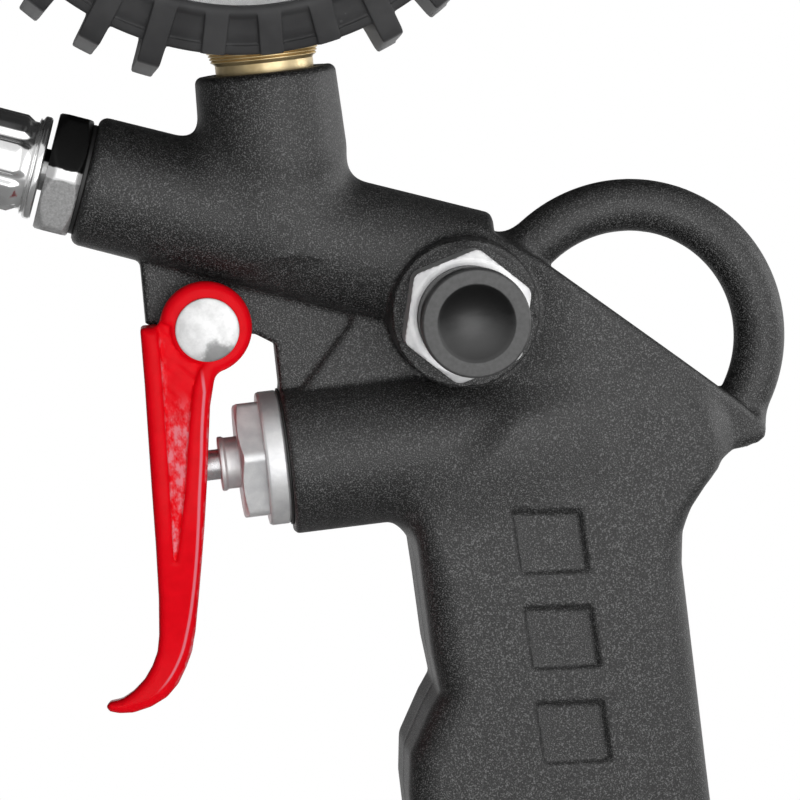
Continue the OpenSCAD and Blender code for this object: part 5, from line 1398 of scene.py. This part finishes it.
def chuckField(x, y, z):
    off = np.hypot(x, y)
    wall = chuck["radius"] + 0 * z
    for at in chuck["grooves"]:
        wall = wall - 0.45 * np.exp(-((z - at) / 0.55) ** 2)
    field = roundedPair(off - wall, np.maximum(z - chuck["high"], chuck["low"] - z), 1.3)
    px, pz = chuck["pivot"]
    block = np.maximum(np.maximum(px - x, x + 3), np.abs(z - pz) - chuck["ear"])
    ear = blendMin(np.hypot(x - px, z - pz) - chuck["ear"], block, 1)
    field = blendMin(field, plate(ear, y, chuck["earHalf"], 0.8), 1.2)
    slots = [np.maximum(np.maximum(x - front, low - z), z - high) for front, low, high in chuck["slots"]]
    field = blendMax(field, -np.maximum(np.minimum(*slots), np.abs(y) - chuck["slotHalf"]), 0.5)
    mouth = np.maximum(off - chuck["mouth"] - 0.6 * np.clip(chuck["low"] + 1 - z, 0, 1),
                       z - chuck["low"] - chuck["mouthDepth"])
    return np.maximum(field, -mouth)


def clipField(x, y, z):
    lower = outline(x, z, roundedLine(chuck["lowerArm"], [0, 2, 2, 1, 0.3, 0.3, 1, 1, 0], 3, True))
    upper = outline(x, z, roundedLine(chuck["upperArm"], [0, 4, 0.8, 0.8, 4, 0], 3, True))
    eye = np.hypot(x, z) - 3.0
    field = plate(blendMin(np.minimum(lower, upper), eye, 0.8), y, chuck["leverHalf"], 0.6)
    # cross grooves for the thumb
    groove = np.clip(np.sin((z - 10) * 3.2), 0, 1)
    field = field + 0.25 * groove * easeStep((z - 10) / 1.5) * easeStep((-x - 2.5) / 1.5)
    return np.maximum(field, 1.37 - np.hypot(x, z) + 0 * y)


def chuckPieces():
    mesh = fieldMesh("chuckBody", chuckField, *chuck["bounds"], chuck["step"], chuckSeat)
    finishPiece("chuckBody", mesh, "chrome", ["chuck_body"], sharp=50)
    bore, tail, top, end = chuck["bore"], chuck["tail"], chuck["hexHigh"] - 0.5, chuck["tailEnd"]
    nut = hexNut(chuck["hex"], chuck["high"] - 0.2, chuck["hexHigh"], bore, 0.6, 0.97, 30)
    shank = turned(np.array([(bore, top), (tail, top), (tail, end), (bore, end)]))
    addPiece("chuckHex", [(nut, False, True), (shank, True, True)], chuckSeat, "chrome")
    clipSeat = moved(chuckSeat, x=chuck["pivot"][0], z=chuck["pivot"][1])
    mesh = fieldMesh("clipLever", clipField, *chuck["clipBounds"], chuck["clipStep"], clipSeat)
    finishPiece("clipLever", mesh, "chrome", ["clip_lever"], "clip", 50)
    half = [(1.3, 4.1), (1.5, 4.4), (0.9, 4.7), (0, 4.75)]
    lathe("clipPin", [(r, -h) for r, h in half[::-1]] + half, [0, 0.4, 0.3, 0.1, 0.1, 0.3, 0.4, 0],
          (sideSeat[0], clipSeat[1]), "steel", ["clip_pin"], 40)


chuckPieces()

# ---- air inlet ----
inlet = {
    "bore": 3.0, "nose": 4.3, "noseEnd": 9.0, "bead": 5.6, "hex": 17.0, "hexLow": 16.0, "hexHigh": 21.0,
    "thread": 6.55, "threadEnd": 33.0, "washerInner": 6.6, "washerOuter": 8.2,
}


def inletPieces():
    bore, nose, end, bead = [inlet[key] for key in ("bore", "nose", "noseEnd", "bead")]
    low, high = inlet["hexLow"], inlet["hexHigh"]
    lathe("inletPlug", [
        (bore, 0), (nose - 0.7, 0), (nose, 0.9), (nose, end), (bead, end + 0.6), (bead, end + 3),
        (nose + 0.3, end + 3.8), (nose, end + 4.6), (nose, low), (bore, low)],
        [0, 0.3, 0.6, 0.4, 0.4, 0.3, 0.5, 0.5, 0, 0], rowSeat, "zinc", ["inlet_plug"], closed=True)
    thread = [(bore, high - 0.5), (inlet["thread"], high - 0.5), (inlet["thread"], inlet["threadEnd"] - 1),
              (inlet["thread"] - 0.65, inlet["threadEnd"]), (bore, inlet["threadEnd"])]
    addPiece("inletHex", [
        (hexNut(inlet["hex"], low, high, bore, 0.6, 0.97, 0), False, True),
        (turned(np.array(thread)), True, True),
    ], rowSeat, "zinc")
    washer("inletWasher", inlet["washerInner"], inlet["washerOuter"], high, high + 1, 0.3, rowSeat,
           "seal_rubber", ["inlet_washer"])


inletPieces()
print("chuck and inlet done")
